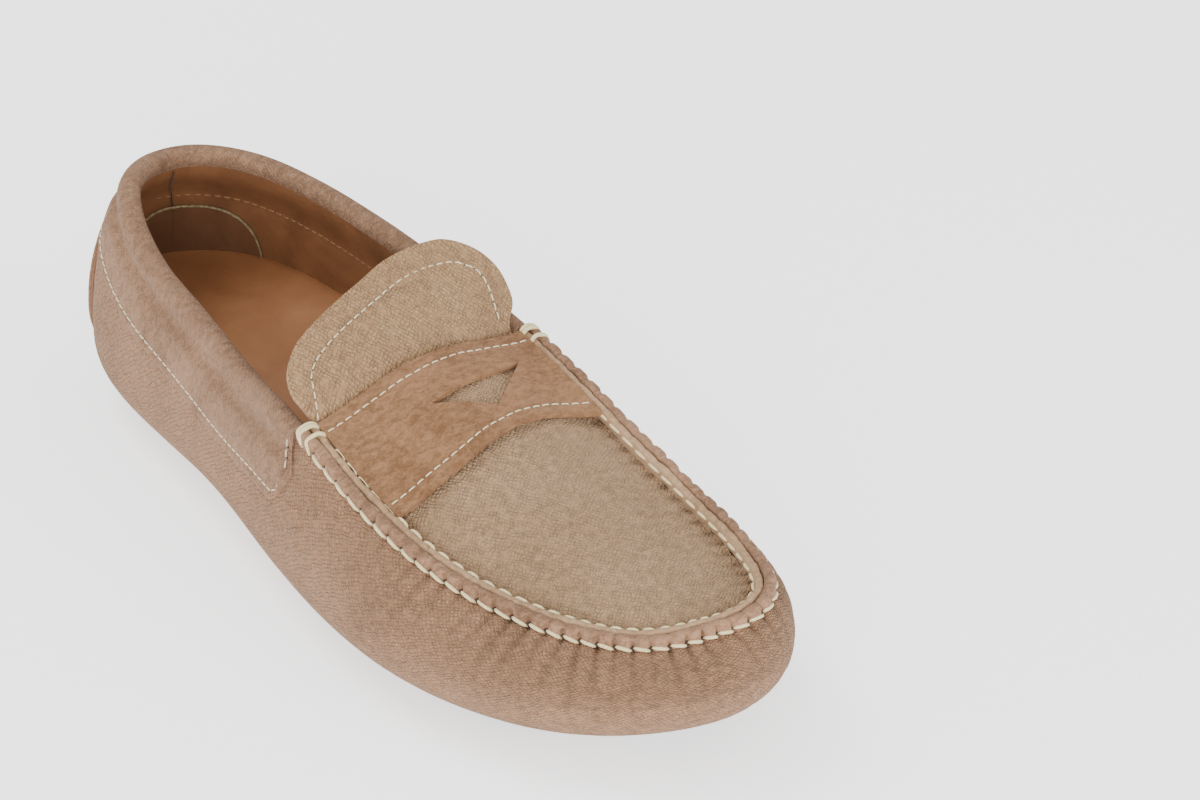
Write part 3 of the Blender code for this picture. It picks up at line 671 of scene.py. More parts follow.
def make_upper():
    """The wall with its gathers, soft creases and flat underside, and painted shade in the troughs of its
    gathers.
    """
    rows = ring_rows(16, 34)
    outer = place_of(rows, OUTER)
    inner = place_of(rows, INNER)
    places = np.concatenate([outer, inner[::-1]])
    shares = np.concatenate([np.linspace(-1, 0, 13)[:-1], np.linspace(0, 1, 27)])
    place, share = np.meshgrid(places, shares, indexing="ij")
    top = 1 - collar_depth(places) * WALL_UNDER_COLLAR / climb_length(places)
    top = np.where((places >= THROAT_OUTER) & (places <= THROAT_INNER), 1.0, top)
    share = np.where(share > 0, share * top[:, None], share)
    below = (1 - share) * climb_length(places)[:, None]
    pleats = pleat_relief(place, np.clip(below, 0, None)) * (share > -0.9)
    relief = pleats + crease_relief(place, share) * smooth_step((share + 1) / 0.5)
    outside = skin(place, share, -relief)
    inside = skin(place, share, -WALL)
    half = len(rows)
    middle = (outside[:half, :1] + outside[half:, :1][::-1]) / 2
    middle = np.concatenate([middle, middle[::-1]])
    steps = np.array(UNDERSIDE_STEPS)[None, :, None]
    floor = outside[:, :1] + (middle - outside[:, :1]) * steps
    floor[..., 2] = underside(floor[..., 0])
    floor_inside = floor + np.array([0.0, 0.0, WALL])
    outside = np.concatenate([floor, outside], axis=1)
    inside = np.concatenate([floor_inside, inside], axis=1)
    length = np.concatenate([np.full((len(places), 3), -0.03), share * WALL_CLIMB], axis=1)
    uv = np.stack([np.repeat(places[:, None], outside.shape[1], axis=1), length], axis=-1)
    # painted shade: the troughs of the gathers, darkened by the wall's finish
    hollow = np.concatenate([np.zeros((len(places), 3)), pleats / PLEAT_DEPTH], axis=1)
    piece = slab("upper_suede", outside, inside, uv, hollow)
    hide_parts("upper")
    return piece


def collar_places():
    """Places along the collar, from its inner front end back around the heel to its outer one."""
    first = THROAT_INNER + COLLAR_END
    last = KNOTS[-1] + THROAT_OUTER - COLLAR_END
    count = int((last - first) / COLLAR_STEP)
    return np.linspace(first, last, count)


def rim_point(place, angle):
    """Points around the padded rim; angle 0 is its outside and pi its inside."""
    radius = RIM / 2
    uneven = RIM_WAVE * wander(place * 55, 2.0)
    swell = radius + uneven * np.sin(angle)
    return skin(place, 1.0, COLLAR_PROUD - radius + swell * np.cos(angle), swell * np.sin(angle))


def band_point(place, below, offset=0.0):
    """Points on the collar's band, whose front ends slant forward towards its foot."""
    place, below = together(place, below)
    behind_outer = np.abs(KNOTS[-1] + THROAT_OUTER - COLLAR_END - place)
    behind_inner = np.abs(place - THROAT_INNER - COLLAR_END)
    share = below / COLLAR_TIP
    near_outer = smooth_step(1 - behind_outer / BAND_FRONT)
    near_inner = smooth_step(1 - behind_inner / BAND_FRONT)
    moved = place + BAND_SLANT * np.clip(share, 0, 1) * (near_outer - near_inner)
    return skin(moved, 1 - below / climb_length(place), offset)


def band_relief(places, depth, part):
    """How far the band lies below its full thickness, at a part of its depth."""
    below = depth * part
    stitched = BAND_DENT * np.exp(-((depth - below - BAND_MARGIN) / 0.0008) ** 2)
    hollow, middle, half_width = ROLL_HOLLOW
    full = smooth_step((depth - COLLAR_TIP) / BAND_ROLL_START)
    valley = hollow * full * np.exp(-((below - middle) / half_width) ** 2)
    soft = BAND_WAVE * wander(places * 38, 7.0) * math.sin(part * math.pi)
    rounded = 0.35 * COLLAR_PROUD * (part > 0.99)
    return stitched + valley + soft + rounded


def make_collar():
    """The suede band: its edge, its stitched hollow, the padded rim and its turn inside."""
    places = collar_places()
    depth = collar_depth(places)
    length = climb_length(places)
    radius = RIM / 2
    columns = [band_point(places, depth, 0.00005)]
    down = [depth]
    for part in np.linspace(1, 0, 25):
        columns.append(band_point(places, depth * part, COLLAR_PROUD - band_relief(places, depth, part)))
        down.append(depth * part)
    for angle in np.linspace(0, math.pi, 15)[1:]:
        columns.append(rim_point(places, angle))
        down.append(-radius * angle + 0 * places)
    for below, offset in RIM_EDGE:
        columns.append(skin(places, 1 - below / length, offset))
        down.append(-math.pi * radius - below + 0 * places)
    columns.append(band_point(places, depth, -0.0006))
    down.append(depth)
    piece = long_body("collar_suede", places, columns, np.stack(down, axis=1))
    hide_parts("collar")
    return piece


def band_stitch_line(offset):
    """Line of the band's stitches: up at the inner front end, along its foot, up at the outer one."""
    places = collar_places()
    foot = collar_depth(places) - BAND_MARGIN
    inside = (places > places[0] + BAND_MARGIN) & (places < places[-1] - BAND_MARGIN)
    places, foot = places[inside], foot[inside]
    top = BAND_STITCH_TOP
    rise = np.linspace(0.0020, 1, 12)[:-1]
    start = np.stack([np.full(11, places[0]), top + (foot[0] - top) * rise], axis=1)
    end = np.stack([np.full(11, places[-1]), top + (foot[-1] - top) * rise[::-1]], axis=1)
    line = np.concatenate([start, np.stack([places, foot], axis=1), end])
    return band_point(line[:, 0], line[:, 1], BAND_STITCH_LIFT + offset)


def lining_offset(below):
    """Distance of the lining's face from the wall's outside, by the distance below the rim's middle."""
    padded = RIM - COLLAR_PROUD
    flat = WALL + LINING
    part = smooth_step((below - PADDING_START) / (PADDING_DEPTH - PADDING_START))
    return padded + (flat - padded) * part


def lining_face(place, below, lift=0.0):
    """Points on the lining's face behind the throat, at distances below the rim's middle."""
    place, below = together(place, below)
    dent = LINING_DENT * np.exp(-((below - PADDING_DEPTH) / 0.0009) ** 2)
    sag = LINING_SAG * wander(place * 45 + below * 60, 4.0) * np.clip(below / 0.02, 0, 1)
    return skin(place, 1 - below / climb_length(place), -(lining_offset(below) - dent + sag + lift))


def make_lining():
    """The tan lining, from under the rim down below the insole, all around the foot."""
    places = np.linspace(0, KNOTS[-1], 420)
    length = climb_length(places)
    in_front = (places >= THROAT_OUTER) & (places <= THROAT_INNER)
    top = 1 - np.where(in_front, 0.0004, RIM_TURN_IN - 0.0008) / length
    share = top[:, None] + (LINING_FOOT - top[:, None]) * np.linspace(0, 1, 34)
    place = np.repeat(places[:, None], share.shape[1], axis=1)
    below = (1 - share) * length[:, None]
    front = skin(place, share, -(WALL + LINING))
    face = np.where(in_front[:, None, None], front, lining_face(place, below))
    back = np.where(in_front[:, None, None], skin(place, share, -WALL), lining_face(place, below, -LINING))
    return slab("lining", face, back, np.stack([place, below], axis=-1))


def patch_outline():
    """Outline of the heel's inner patch: places along the ring, and distances below the rim's middle."""
    angle = np.linspace(0, math.pi, 60)
    across = np.sign(np.cos(angle)) * np.abs(np.cos(angle)) ** PATCH_ROUND
    rise = np.sin(angle) ** PATCH_ROUND
    return PATCH_PLACE + PATCH_HALF * across, PATCH_TOP + PATCH_DROP * (1 - rise)


def make_heel_patch():
    """The patch of leather on the lining behind the heel, its corded edge and the seam above it."""
    place, top = patch_outline()
    spread = np.linspace(0, 1, 14)[:, None]
    bottom = PATCH_TOP + PATCH_DROP
    below = top + (bottom - top) * spread
    places = place + 0 * spread
    face = lining_face(places, below, PATCH_LIFT)
    back = lining_face(places, below)
    patch = slab("heel_patch", face, back, np.stack([places, below], axis=-1))
    edge = tubes("heel_patch_edge", [lining_face(place, top, PATCH_LIFT)], PATCH_CORD, sides=8, taper=0.2)
    down = np.linspace(RIM_TURN_IN, bottom, 60)
    line = lining_face(PATCH_SEAM + LINING_SEAM_WAVE * np.sin(down * 200), down, LINING_SEAM_LIFT)
    seam = tubes("lining_seam", [line], LINING_SEAM_SIZE, sides=6, taper=0.2)
    return patch, edge, seam


def insole_level(x):
    """Height of the insole's top edge, and how much of its wedge is left."""
    thin = underside(x) + WALL + GAP + INSOLE
    share = (x + HEEL_CENTRE) / LENGTH
    along = np.clip((share - INSOLE_WEDGE[0]) / (INSOLE_WEDGE[1] - INSOLE_WEDGE[0]), 0, 1)
    wedge = (1 + np.cos(along * math.pi)) / 2
    return thin + (INSOLE_LEVEL - thin) * wedge, wedge


def insole_edge(places, level):
    """Points on the lining at the level of the insole's edge."""
    shares = np.linspace(-1, 0.8, 60)
    pressed_in = INSOLE_PRESS - WALL - LINING
    inside = skin(places[:, None], shares, pressed_in)
    own = [np.interp(z, line[:, 2], shares) for z, line in zip(level, inside)]
    return skin(places, np.array(own), pressed_in)


def make_insole():
    """The insole: dished and thick under the heel, thin from the ball on, its edge against the lining."""
    rows = np.linspace(0.02, TOE - 0.02, 170)
    outer_place = place_of(rows, OUTER)
    inner_place = place_of(rows, INNER)
    level, wedge = insole_level(ring_at(outer_place)[:, 0])
    outer = insole_edge(outer_place, level)
    inner = insole_edge(inner_place, level)
    across = np.linspace(-1, 1, 41)
    spread = (across[None, :, None] + 1) / 2
    face = outer[:, None] + (inner - outer)[:, None] * spread
    width = np.linalg.norm(inner - outer, axis=1)
    hollow = INSOLE_HOLLOW * width * wedge
    face[..., 2] -= hollow[:, None] * (1 - across ** 2)
    face[..., 2] -= INSOLE_EDGE_DROP * np.abs(across) ** 40
    face[..., 2] += INSOLE_WAVE * wander(face[..., 0] * 60 + face[..., 1] * 50, 3.0) * (1 - across ** 2)
    back = face - np.array([0.0, 0.0, INSOLE_SHEET])
    piece = slab("insole_leather", face, back, face[..., :2].copy())
    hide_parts("insole")
    return piece


def seam_layer(name, inner_share, outer_share, height, seed, scallop):
    """One of the two layers of leather that stand up side by side in the raised seam."""
    places = np.linspace(THROAT_OUTER, THROAT_INNER, 620)
    gap, _ = hole_distance(places)
    pinch = np.exp(-(gap / PINCH) ** 2)
    angles = np.linspace(0, 2 * math.pi, 20, endpoint=False)
    middle = (inner_share + outer_share) / 2 + 0.045 * wander(places * 210, seed)
    half = (outer_share - inner_share) / 2
    rise = height * (1 + 0.07 * wander(places * 170, seed + 4) - 0.09 * pinch)
    columns = []
    for angle in angles:
        c = math.cos(angle)
        s = math.sin(angle)
        across = math.copysign(abs(c) ** 0.55, c) * half
        up = math.copysign(abs(s) ** 0.60, s)
        bulge = scallop * (1 - 1.9 * pinch) * max(-c, 0)
        inset = (middle + across) * RIDGE_WIDTH - bulge
        columns.append(level_inset(places, inset, RIDGE_FOOT + (rise - RIDGE_FOOT) * (up + 1) / 2))
    around = np.repeat(angles[None, :], len(places), axis=0) * 0.0015
    return long_body(name, places, columns, around, sharp=70)


def make_seam():
    """Both layers of the raised seam."""
    wall_layer = seam_layer("seam_wall_layer", -LAYER_OVER, SPLIT, RIDGE_HEIGHT, 1.0, SCALLOP)
    apron_height = RIDGE_HEIGHT * APRON_LAYER
    apron_layer = seam_layer("seam_apron_layer", SPLIT + LAYER_GAP, 1.0, apron_height, 2.0, 0.0)
    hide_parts("seam_ridge")
    return wall_layer, apron_layer


def make_apron():
    """The apron, drawn down a little at its stitches, with painted shade where they draw it down."""
    rows = np.linspace(THROAT + 0.05, TOE - 1, 150)
    rows = np.concatenate([rows, np.linspace(TOE - 1, TOE - 0.03, 60)[1:]])
    spread = np.linspace(-1, 1, 91)
    across = np.sign(spread) * (1 - (1 - np.abs(spread)) ** 1.35) * (1 + APRON_TUCK)
    row, place = np.meshgrid(rows, across, indexing="ij")
    surface = apron_surface(row, place)
    side = np.where(place < 0, OUTER, INNER)
    ring_place = place_of(row, side)
    gap, _ = hole_distance(ring_place)
    edge = level_inset(ring_place, SHELF)
    inward = np.linalg.norm(surface - edge, axis=-1)
    pull = np.exp(-(gap / APRON_PULL_SIZE[0]) ** 2) * np.exp(-inward / APRON_PULL_SIZE[1])
    puff = APRON_PUFF * smooth_step(inward / 0.012) + APRON_WAVE * wander(row * 3.1 + place * 2.0, 6.0)
    lift = puff - APRON_PULL * pull - APRON_EDGE * np.exp(-inward / APRON_EDGE_REACH)
    top = apron_point(row, place, lift)
    bottom = apron_point(row, place, -APRON)
    uv = surface[..., :2].copy()
    # pull also sets the painted shade where the stitches draw the apron down
    piece = slab("apron_leather", top, bottom, uv, pull)
    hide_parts("apron")
    return piece


def strap_front(across):
    """Row of the strap's front edge, rounded between the points of its table."""
    table = np.array(STRAP_FRONT)
    total = 0.0
    for shift in (-0.09, -0.05, 0.0, 0.05, 0.09):
        total = total + np.interp(across + shift, table[:, 0], table[:, 1])
    return total / 5


def strap_surface(across, part, offset=0.0):
    """Points on the strap's top; part runs from 0, its back edge, to 1, its front edge."""
    across, part, offset = together(across, part, offset)
    row = THROAT + (strap_front(across) - THROAT) * part
    lift = STRAP_LIFT * part ** 2 * (1 - across ** 2) + (RIDGE_HEIGHT - STRAP) * across ** 4
    width = np.linalg.norm(apron_surface(row, 1.0 + 0 * row) - apron_surface(row, -1.0 + 0 * row), axis=-1)
    reach = 1 - 2 * STRAP_END / width
    soft = (STRAP_WAVE * wander(across * 5 + part * 2.2, 8.0) + STRAP_CROWN) * (1 - across ** 2)
    return apron_point(row, across * reach, GAP + STRAP + lift + soft + offset)


def round_corners(corners, share, count):
    """A closed outline with its corners rounded."""
    corners = np.array(corners, float)
    points = []
    for before, corner, after in zip(np.roll(corners, 1, axis=0), corners, np.roll(corners, -1, axis=0)):
        first = corner + (before - corner) * share
        last = corner + (after - corner) * share
        for t in np.linspace(0, 1, count):
            points.append((1 - t) ** 2 * first + 2 * t * (1 - t) * corner + t ** 2 * last)
    return points


def slot_tool():
    """An upright prism with the slot's outline."""
    outline = [apron_surface(row, across) for across, row in round_corners(SLOT, 0.05, 4)]
    mesh = bpy.data.meshes.new("slot_tool")
    shape = bmesh.new()
    low, high = [[shape.verts.new((p[0], p[1], level)) for p in outline] for level in SLOT_TOOL_ENDS]
    shape.faces.new(low[::-1])
    shape.faces.new(high)
    for k in range(len(low)):
        after = (k + 1) % len(low)
        shape.faces.new((low[k], low[after], high[after], high[k]))
    bmesh.ops.recalc_face_normals(shape, faces=shape.faces)
    shape.to_mesh(mesh)
    shape.free()
    return link_object("slot_tool", mesh)


def cut_slot(piece):
    """Cut the strap's slot."""
    cutter = slot_tool()
    cut = piece.modifiers.new("slot", "BOOLEAN")
    cut.operation = "DIFFERENCE"
    cut.solver = "EXACT"
    cut.object = cutter
    piece.modifiers.move(piece.modifiers.find("slot"), 0)
    bpy.context.view_layer.update()
    shown = piece.evaluated_get(bpy.context.evaluated_depsgraph_get())
    mesh = bpy.data.meshes.new_from_object(shown)
    piece.modifiers.clear()
    piece.data = mesh
    bpy.data.objects.remove(cutter)


def make_strap():
    """The saddle strap with its slot."""
    across, part = np.meshgrid(np.linspace(-1, 1, 121), np.linspace(0, 1, 49), indexing="ij")
    top = strap_surface(across, part)
    bottom = strap_surface(across, part, -STRAP)
    piece = slab("strap_suede", top, bottom, top[..., :2].copy(), edge=0.00035)
    cut_slot(piece)
    piece.data.set_sharp_from_angle(angle=math.radians(40))
    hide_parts("strap")
    return piece


def smooth_rows(rows, count):
    """More rows through a short list of lines, on a smooth open curve."""
    rows = np.array(rows)
    fine = np.linspace(0, len(rows) - 1, count)
    i = np.clip(fine.astype(int), 0, len(rows) - 2)
    t = (fine - i)[:, None, None]
    before = rows[np.clip(i - 1, 0, None)]
    after = rows[np.clip(i + 2, None, len(rows) - 1)]
    a, b = rows[i], rows[i + 1]
    return 0.5 * (2 * a + (b - before) * t + (2 * before - 5 * a + 4 * b - after) * t ** 2
                  + (3 * a - before - 3 * b + after) * t ** 3)


def tongue_lines():
    """Lines across the tongue's top, from under the apron back to its tip."""
    across = np.linspace(-0.85, 0.85, 61)
    lines = [apron_point(row, across, -(APRON + GAP)) for row in TONGUE_UNDER]
    throat = lines[-1]
    middle = (throat.max(axis=0) + throat.min(axis=0)) / 2
    middle[2] = throat[:, 2].max()
    foot = abs(throat[-1, 1] - throat[0, 1])
    for back, rise, width, curve, lean in TONGUE_ROWS:
        line = throat.copy()
        line[:, 0] += (middle[0] - throat[:, 0]) * (1 - min(width / 0.6, 1))
        line[:, 0] -= back * TONGUE_LENGTH
        line[:, 1] = middle[1] + (throat[:, 1] - middle[1]) * width * TONGUE_WIDTH / foot
        line[:, 1] += lean * TONGUE_SKEW
        line[:, 2] = middle[2] + (throat[:, 2] - middle[2]) * curve + rise * TONGUE_RISE
        lines.append(line)
    return smooth_rows(lines, 90)


def tongue_normals(lines):
    """Upward unit normals of the tongue; its narrow tip takes those of the line just before it."""
    along = np.gradient(lines, axis=0)
    sideways = np.gradient(lines, axis=1)
    normal = unit(np.cross(sideways, along))
    normal *= np.sign(normal[len(lines) // 2, 30, 2])
    normal[-TIP_LINES:] = normal[-TIP_LINES - 1]
    return normal


def make_tongue(lines):
    """The tongue, with its edge a little thinner than its middle."""
    normal = tongue_normals(lines)
    soft = TONGUE_WAVE * wander(lines[..., 0] * 120 + lines[..., 1] * 90, 9.0)
    top = lines + normal * soft[..., None]
    bottom = lines - normal * TONGUE
    piece = slab("tongue_leather", top, bottom, lines[..., :2].copy(), edge=0.0004)
    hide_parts("tongue")
    return piece


def tab_point(across, up, offset):
    """Points on the heel tab."""
    across, up = together(across, up)
    place = across * TAB_WIDTH / 2 * (1 - TAB_TAPER * up)
    top = 1 - (collar_depth(place) + GAP) / climb_length(place)
    return skin(place, TAB_FOOT + (top - TAB_FOOT) * up, offset)


def tab_surface(across, up, offset=0.0):
    """Points on the outside of the heel tab, whose sides stand off the wall."""
    gape = TAB_LIFT + TAB_GAPE * np.abs(across) ** 3 * np.sin(math.pi * np.clip(up, 0, 1))
    return tab_point(across, up, GAP + HEEL_TAB + gape + offset)


def make_heel_tab():
    """The tab at the back of the heel: suede outside, tan leather behind it."""
    across, up = np.meshgrid(np.linspace(-1, 1, 41), np.linspace(0, 1, 49), indexing="ij")
    outside = tab_surface(across, up)
    between = tab_surface(across, up, TAB_SUEDE - HEEL_TAB)
    inside = tab_surface(across, up, -HEEL_TAB)
    uv = np.stack([across * TAB_WIDTH / 2, up * TAB_LENGTH], axis=-1)
    tab = slab("heel_tab_suede", outside, between, uv, edge=0.0003)
    backing = slab("heel_tab_backing", between, inside, uv)
    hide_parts("heel_tab")
    return tab, backing


# Thread

def bowed(first, last, out, bow):
    """A stitch between two holes: bowed outwards, its ends sunk into the leather."""
    t = np.linspace(0, 1, 9)
    path = first + (last - first) * t[:, None]
    height = np.sin(math.pi * t) ** 0.55 * bow - STITCH_SINK * bow * (np.abs(2 * t - 1) ** 6)
    return path + out * height[:, None]


def thick_stitches():
    """The heavy stitches: on the outer side of the raised seam, and over its inner top corner."""
    outer_paths = []
    inner_paths = []
    pitch = HOLES[1] - HOLES[0]
    up = np.array([0.0, 0.0, 1.0])
    for hole in HOLES[:-1]:
        level = np.append(outwards([hole + pitch / 2])[0], 0.0)
        ends = [level_inset(hole + share * pitch, inset, height) for share, inset, height in OUTER_STITCH]
        outer_paths.append(bowed(*ends, level * 0.8 + up * 0.5, OUTER_BOW))
        top = RIDGE_HEIGHT * np.interp(hole, INNER_STITCH_PLACES, INNER_STITCH_HEIGHTS)
        ends = [level_inset(hole + share * pitch, INNER_STITCH_INSET, top - drop)
                for share, drop in INNER_STITCH]
        inner_paths.append(bowed(*ends, up * 0.7 - level * 0.7, INNER_BOW))
    outer = tubes("seam_stitches_outer", outer_paths, THICK_THREAD, sides=10)
    inner = tubes("seam_stitches_inner", inner_paths[:-1], INNER_THREAD, sides=10)
    return outer, inner


def stitch_hole_shades():
    """Dark tubes that paint the shade in the holes where the heavy stitches enter the outer side of the
    raised seam.
    """
    paths = []
    for hole in HOLES:
        deep, mouth = [level_inset(hole, inset, height) for inset, height in STITCH_PIT]
        paths.append(np.stack([deep, (deep + mouth) / 2, mouth]))
    return tubes("seam_stitch_hole_shade", paths, PIT_SIZE, sides=10, taper=0.1)


def bar_tack(name, throat, direction):
    """Heavy loops that bind the end of the raised seam: two strands behind, one in front."""
    paths = []
    for start in TACK_STRANDS:
        points = [level_inset(throat + direction * (start + further), inset, height)
                  for further, inset, height in TACK_POINTS]
        paths.append(smooth_rows([[point] for point in points], 40)[:, 0])
    return tubes(name, paths, TACK_THREAD, sides=10, taper=0.3)


def along_line(at, lengths, values):
    """Values of a line at lengths along it."""
    return np.stack([np.interp(at, lengths, own) for own in values.T], axis=1)


def stitch_run(line, normals):
    """Short stitches along a line on a surface, each one sunk at both ends."""
    lengths = np.concatenate([[0.0], np.cumsum(np.linalg.norm(np.diff(line, axis=0), axis=1))])
    count = max(int(lengths[-1] / FINE_PITCH), 1)
    own = lengths[-1] / count
    t = np.linspace(-1, 1, 7)
    height = FINE_THREAD * (0.75 - 1.6 * t ** 4)
    paths = []
    for k in range(count):
        at = own * (k + 0.5 + t * (1 - FINE_GAP) / 2)
        paths.append(along_line(at, lengths, line) + along_line(at, lengths, normals) * height[:, None])
    return paths


def surface_line(points_of, *where):
    """Line and unit normals on a surface, from a function that takes an offset last."""
    line = points_of(*where, 0.0)
    return line, unit(points_of(*where, 0.0002) - line)


def pinhole(start, second, third):
    """A short way into the leather where a stitch starts, at right angles to the stitch."""
    along = third - second
    inward = start - second
    inward = unit(inward - along * np.dot(inward, along) / np.dot(along, along))
    mouth = start - inward * FINE_THREAD * 0.95
    return np.stack([mouth + inward * PINHOLE_DEPTH * share for share in (1.0, 0.5, 0.0)])


def fine_stitches(tongue):
    """The fine stitch lines on strap, tongue, collar, lining and heel tab, with dark tubes as painted shade
    in their pinholes.
    """
    across = np.linspace(-0.97, 0.97, 160)
    places = np.linspace(THROAT_INNER + 0.004, KNOTS[-1] + THROAT_OUTER - 0.004, 400)
    up = np.linspace(0.03, 0.99, 30)
    lines = {
        "strap_stitches": [surface_line(strap_surface, across, part) for part in STRAP_SEAMS],
        "tongue_stitches": [tongue_border(tongue)],
        "collar_stitches": [surface_line(band_stitch_line)],
        "lining_stitches": [surface_line(lining_face, places, PADDING_DEPTH)],
        "heel_tab_stitches": [surface_line(tab_surface, TAB_SEAM * side, up) for side in (OUTER, INNER)],
    }
    runs = {name: [path for line in own for path in stitch_run(*line)] for name, own in lines.items()}
    threads = {name: tubes(name, paths, FINE_THREAD, sides=6, taper=0.3) for name, paths in runs.items()}
    pierced = ("strap_stitches", "tongue_stitches", "collar_stitches")
    # painted shade: dark tubes in the holes of the pierced stitch lines
    holes = [pinhole(*path[:3]) for name in pierced for path in runs[name]]
    return threads, tubes("pinholes", holes, PINHOLE, sides=8, taper=0.1)


def border_plan(lines):
    """The border's line seen from above: along inside the tongue's edge, and on under the strap."""
    first = np.searchsorted(-lines[:, 30, 0], -(lines[0, 30, 0] - BORDER_START))
    rim = np.concatenate([lines[first:, 0], lines[-1, 1:-1], lines[first:, -1][::-1]])[:, :2]
    tangent = np.gradient(rim, axis=0)
    inward = unit(np.stack([-tangent[:, 1], tangent[:, 0]], axis=1))
    centre = lines[first:].reshape(-1, 3).mean(axis=0)[:2]
    inward *= np.sign(((centre - rim) * inward).sum(axis=1))[:, None]
    plan = rim + inward * TONGUE_MARGIN
    kernel = np.ones(9) / 9
    plan = np.stack([np.convolve(np.pad(plan[:, c], 4, "edge"), kernel, "valid") for c in range(2)], axis=1)
    steps = np.arange(6, 0, -1)[:, None] * BORDER_STEP
    start = plan[0] + steps * unit(plan[0] - plan[6])
    end = plan[-1] + steps[::-1] * unit(plan[-1] - plan[-7])
    return np.concatenate([start, plan, end])


def tongue_border(lines):
    """Line of the tongue's stitches on its top, and the normals along it."""
    plan = border_plan(lines)
    points = lines.reshape(-1, 3)
    normals = tongue_normals(lines).reshape(-1, 3)
    distance = np.linalg.norm(points[None, :, :2] - plan[:, None], axis=2)
    near = np.argsort(distance, axis=1)[:, :4]
    weight = 1 / (np.take_along_axis(distance, near, axis=1) + 0.0001)
    weight /= weight.sum(axis=1)[:, None]
    height = (points[near][..., 2] * weight).sum(axis=1)
    tops = (normals[near] * weight[..., None]).sum(axis=1)
    return np.column_stack([plan, height]), unit(tops)


# Materials

def feed(tree, node, values):
    """Link some of a node's inputs to sockets, or set them to a number, a vector or a colour."""
    for name, value in values.items():
        target = node.inputs[name]
        if isinstance(value, bpy.types.NodeSocket):
            tree.links.new(value, target)
        elif target.type == "RGBA":
            target.default_value = (*value, 1.0)
        else:
            target.default_value = value


def add(tree, kind, values=None, **settings):
    """A node with its settings, and with some of its inputs linked or set."""
    node = tree.nodes.new(kind)
    for name, value in settings.items():
        setattr(node, name, value)
    feed(tree, node, values or {})
    return node


def number(tree, operation, *values):
    """The result of a math node."""
    return add(tree, "ShaderNodeMath", dict(enumerate(values)), operation=operation).outputs[0]


def ramp(tree, source, low, high):
    """A socket's range mapped onto 0 to 1."""
    values = {"Value": source, "From Min": low, "From Max": high}
    return add(tree, "ShaderNodeMapRange", values, clamp=True).outputs["Result"]


def noise(tree, vector, scale, detail=2.0, roughness=0.5, distortion=0.0):
    """A noise texture's value."""
    return add(tree, "ShaderNodeTexNoise", {
        "Vector": vector,
        "Scale": scale,
        "Detail": detail,
        "Roughness": roughness,
        "Distortion": distortion,
    }).outputs["Fac"]


def blend_colours(tree, factor, first, second):
    """A mix of two colours, each one given as numbers or by a socket."""
    return add(tree, "ShaderNodeMix", {0: factor, 6: first, 7: second}, data_type="RGBA").outputs[2]


def new_group(name, outputs, numbers=()):
    """A shader node group that takes a vector and named numbers, and gives named numbers."""
    group = bpy.data.node_groups.new(name, "ShaderNodeTree")
    group.interface.new_socket(name="Vector", in_out="INPUT", socket_type="NodeSocketVector")
    for label in numbers:
        group.interface.new_socket(name=label, in_out="INPUT", socket_type="NodeSocketFloat")
    for label in outputs:
        group.interface.new_socket(name=label, in_out="OUTPUT", socket_type="NodeSocketFloat")
    return group, add(group, "NodeGroupInput"), add(group, "NodeGroupOutput")


def embossed_grain():
    """Fine crossed furrows pressed into leather, in metres of its surface."""
    group, given, out = new_group("embossed_grain", ("Height",), numbers=("Cell",))
    place = given.outputs["Vector"]
    warp = add(group, "ShaderNodeTexNoise", {"Vector": place, "Scale": 260.0, "Detail": 2.0})
    shift = {0: warp.outputs["Color"], 1: (0.0028, 0.0028, 0.0), 2: place}
    moved = add(group, "ShaderNodeVectorMath", shift, operation="MULTIPLY_ADD")
    parts = add(group, "ShaderNodeSeparateXYZ", {0: moved.outputs[0]})
    x, y = parts.outputs["X"], parts.outputs["Y"]
    cell = number(group, "MULTIPLY", given.outputs["Cell"], 2 * math.pi)
    one = number(group, "MULTIPLY", number(group, "MULTIPLY_ADD", y, 0.75, x), cell)
    two = number(group, "MULTIPLY", number(group, "MULTIPLY_ADD", x, -0.70, y), cell)
    wave = number(group, "MULTIPLY", number(group, "SINE", one), number(group, "SINE", two))
    height = number(group, "POWER", number(group, "ABSOLUTE", wave), 0.45)
    broken = ramp(group, noise(group, place, 420.0), 0.25, 0.62)
    feed(group, out, {"Height": number(group, "MULTIPLY", height, broken)})
    return group


def suede_nap():
    """Short fibres brushed both ways: a tone and a height."""
    group, given, out = new_group("suede_nap", ("Tone", "Height"))
    place = given.outputs["Vector"]
    stretch = {0: place, 1: (1.0, 0.55, 0.8)}
    stretched = add(group, "ShaderNodeVectorMath", stretch, operation="MULTIPLY").outputs[0]
    fine = noise(group, stretched, 2100.0, 2.0, 0.6)
    tufts = noise(group, stretched, 640.0, 2.0, 0.55, 0.4)
    brushed = noise(group, place, 38.0, 3.0, 0.5, 0.6)
    tone = number(group, "MULTIPLY_ADD", fine, 0.30, number(group, "MULTIPLY", tufts, 0.40))
    tone = number(group, "MULTIPLY_ADD", brushed, 0.30, tone)
    height = number(group, "MULTIPLY_ADD", fine, 0.55, number(group, "MULTIPLY", tufts, 0.6))
    feed(group, out, {"Tone": tone, "Height": height})
    return group


def smooth_leather():
    """Blotches, pores and faint wrinkles of smooth leather: a tone and a height."""
    group, given, out = new_group("smooth_leather", ("Tone", "Height"))
    place = given.outputs["Vector"]
    cells = add(group, "ShaderNodeTexVoronoi", {"Vector": place, "Scale": 1300.0}, feature="DISTANCE_TO_EDGE")
    pores = ramp(group, cells.outputs["Distance"], 0.0, 0.25)
    tone = noise(group, place, 45.0, 4.0, 0.55, 0.5)
    wrinkle = noise(group, place, 320.0, 3.0, 0.6, 1.2)
    height = number(group, "MULTIPLY_ADD", wrinkle, 0.5, number(group, "MULTIPLY", pores, 0.4))
    feed(group, out, {"Tone": tone, "Height": height})
    return group


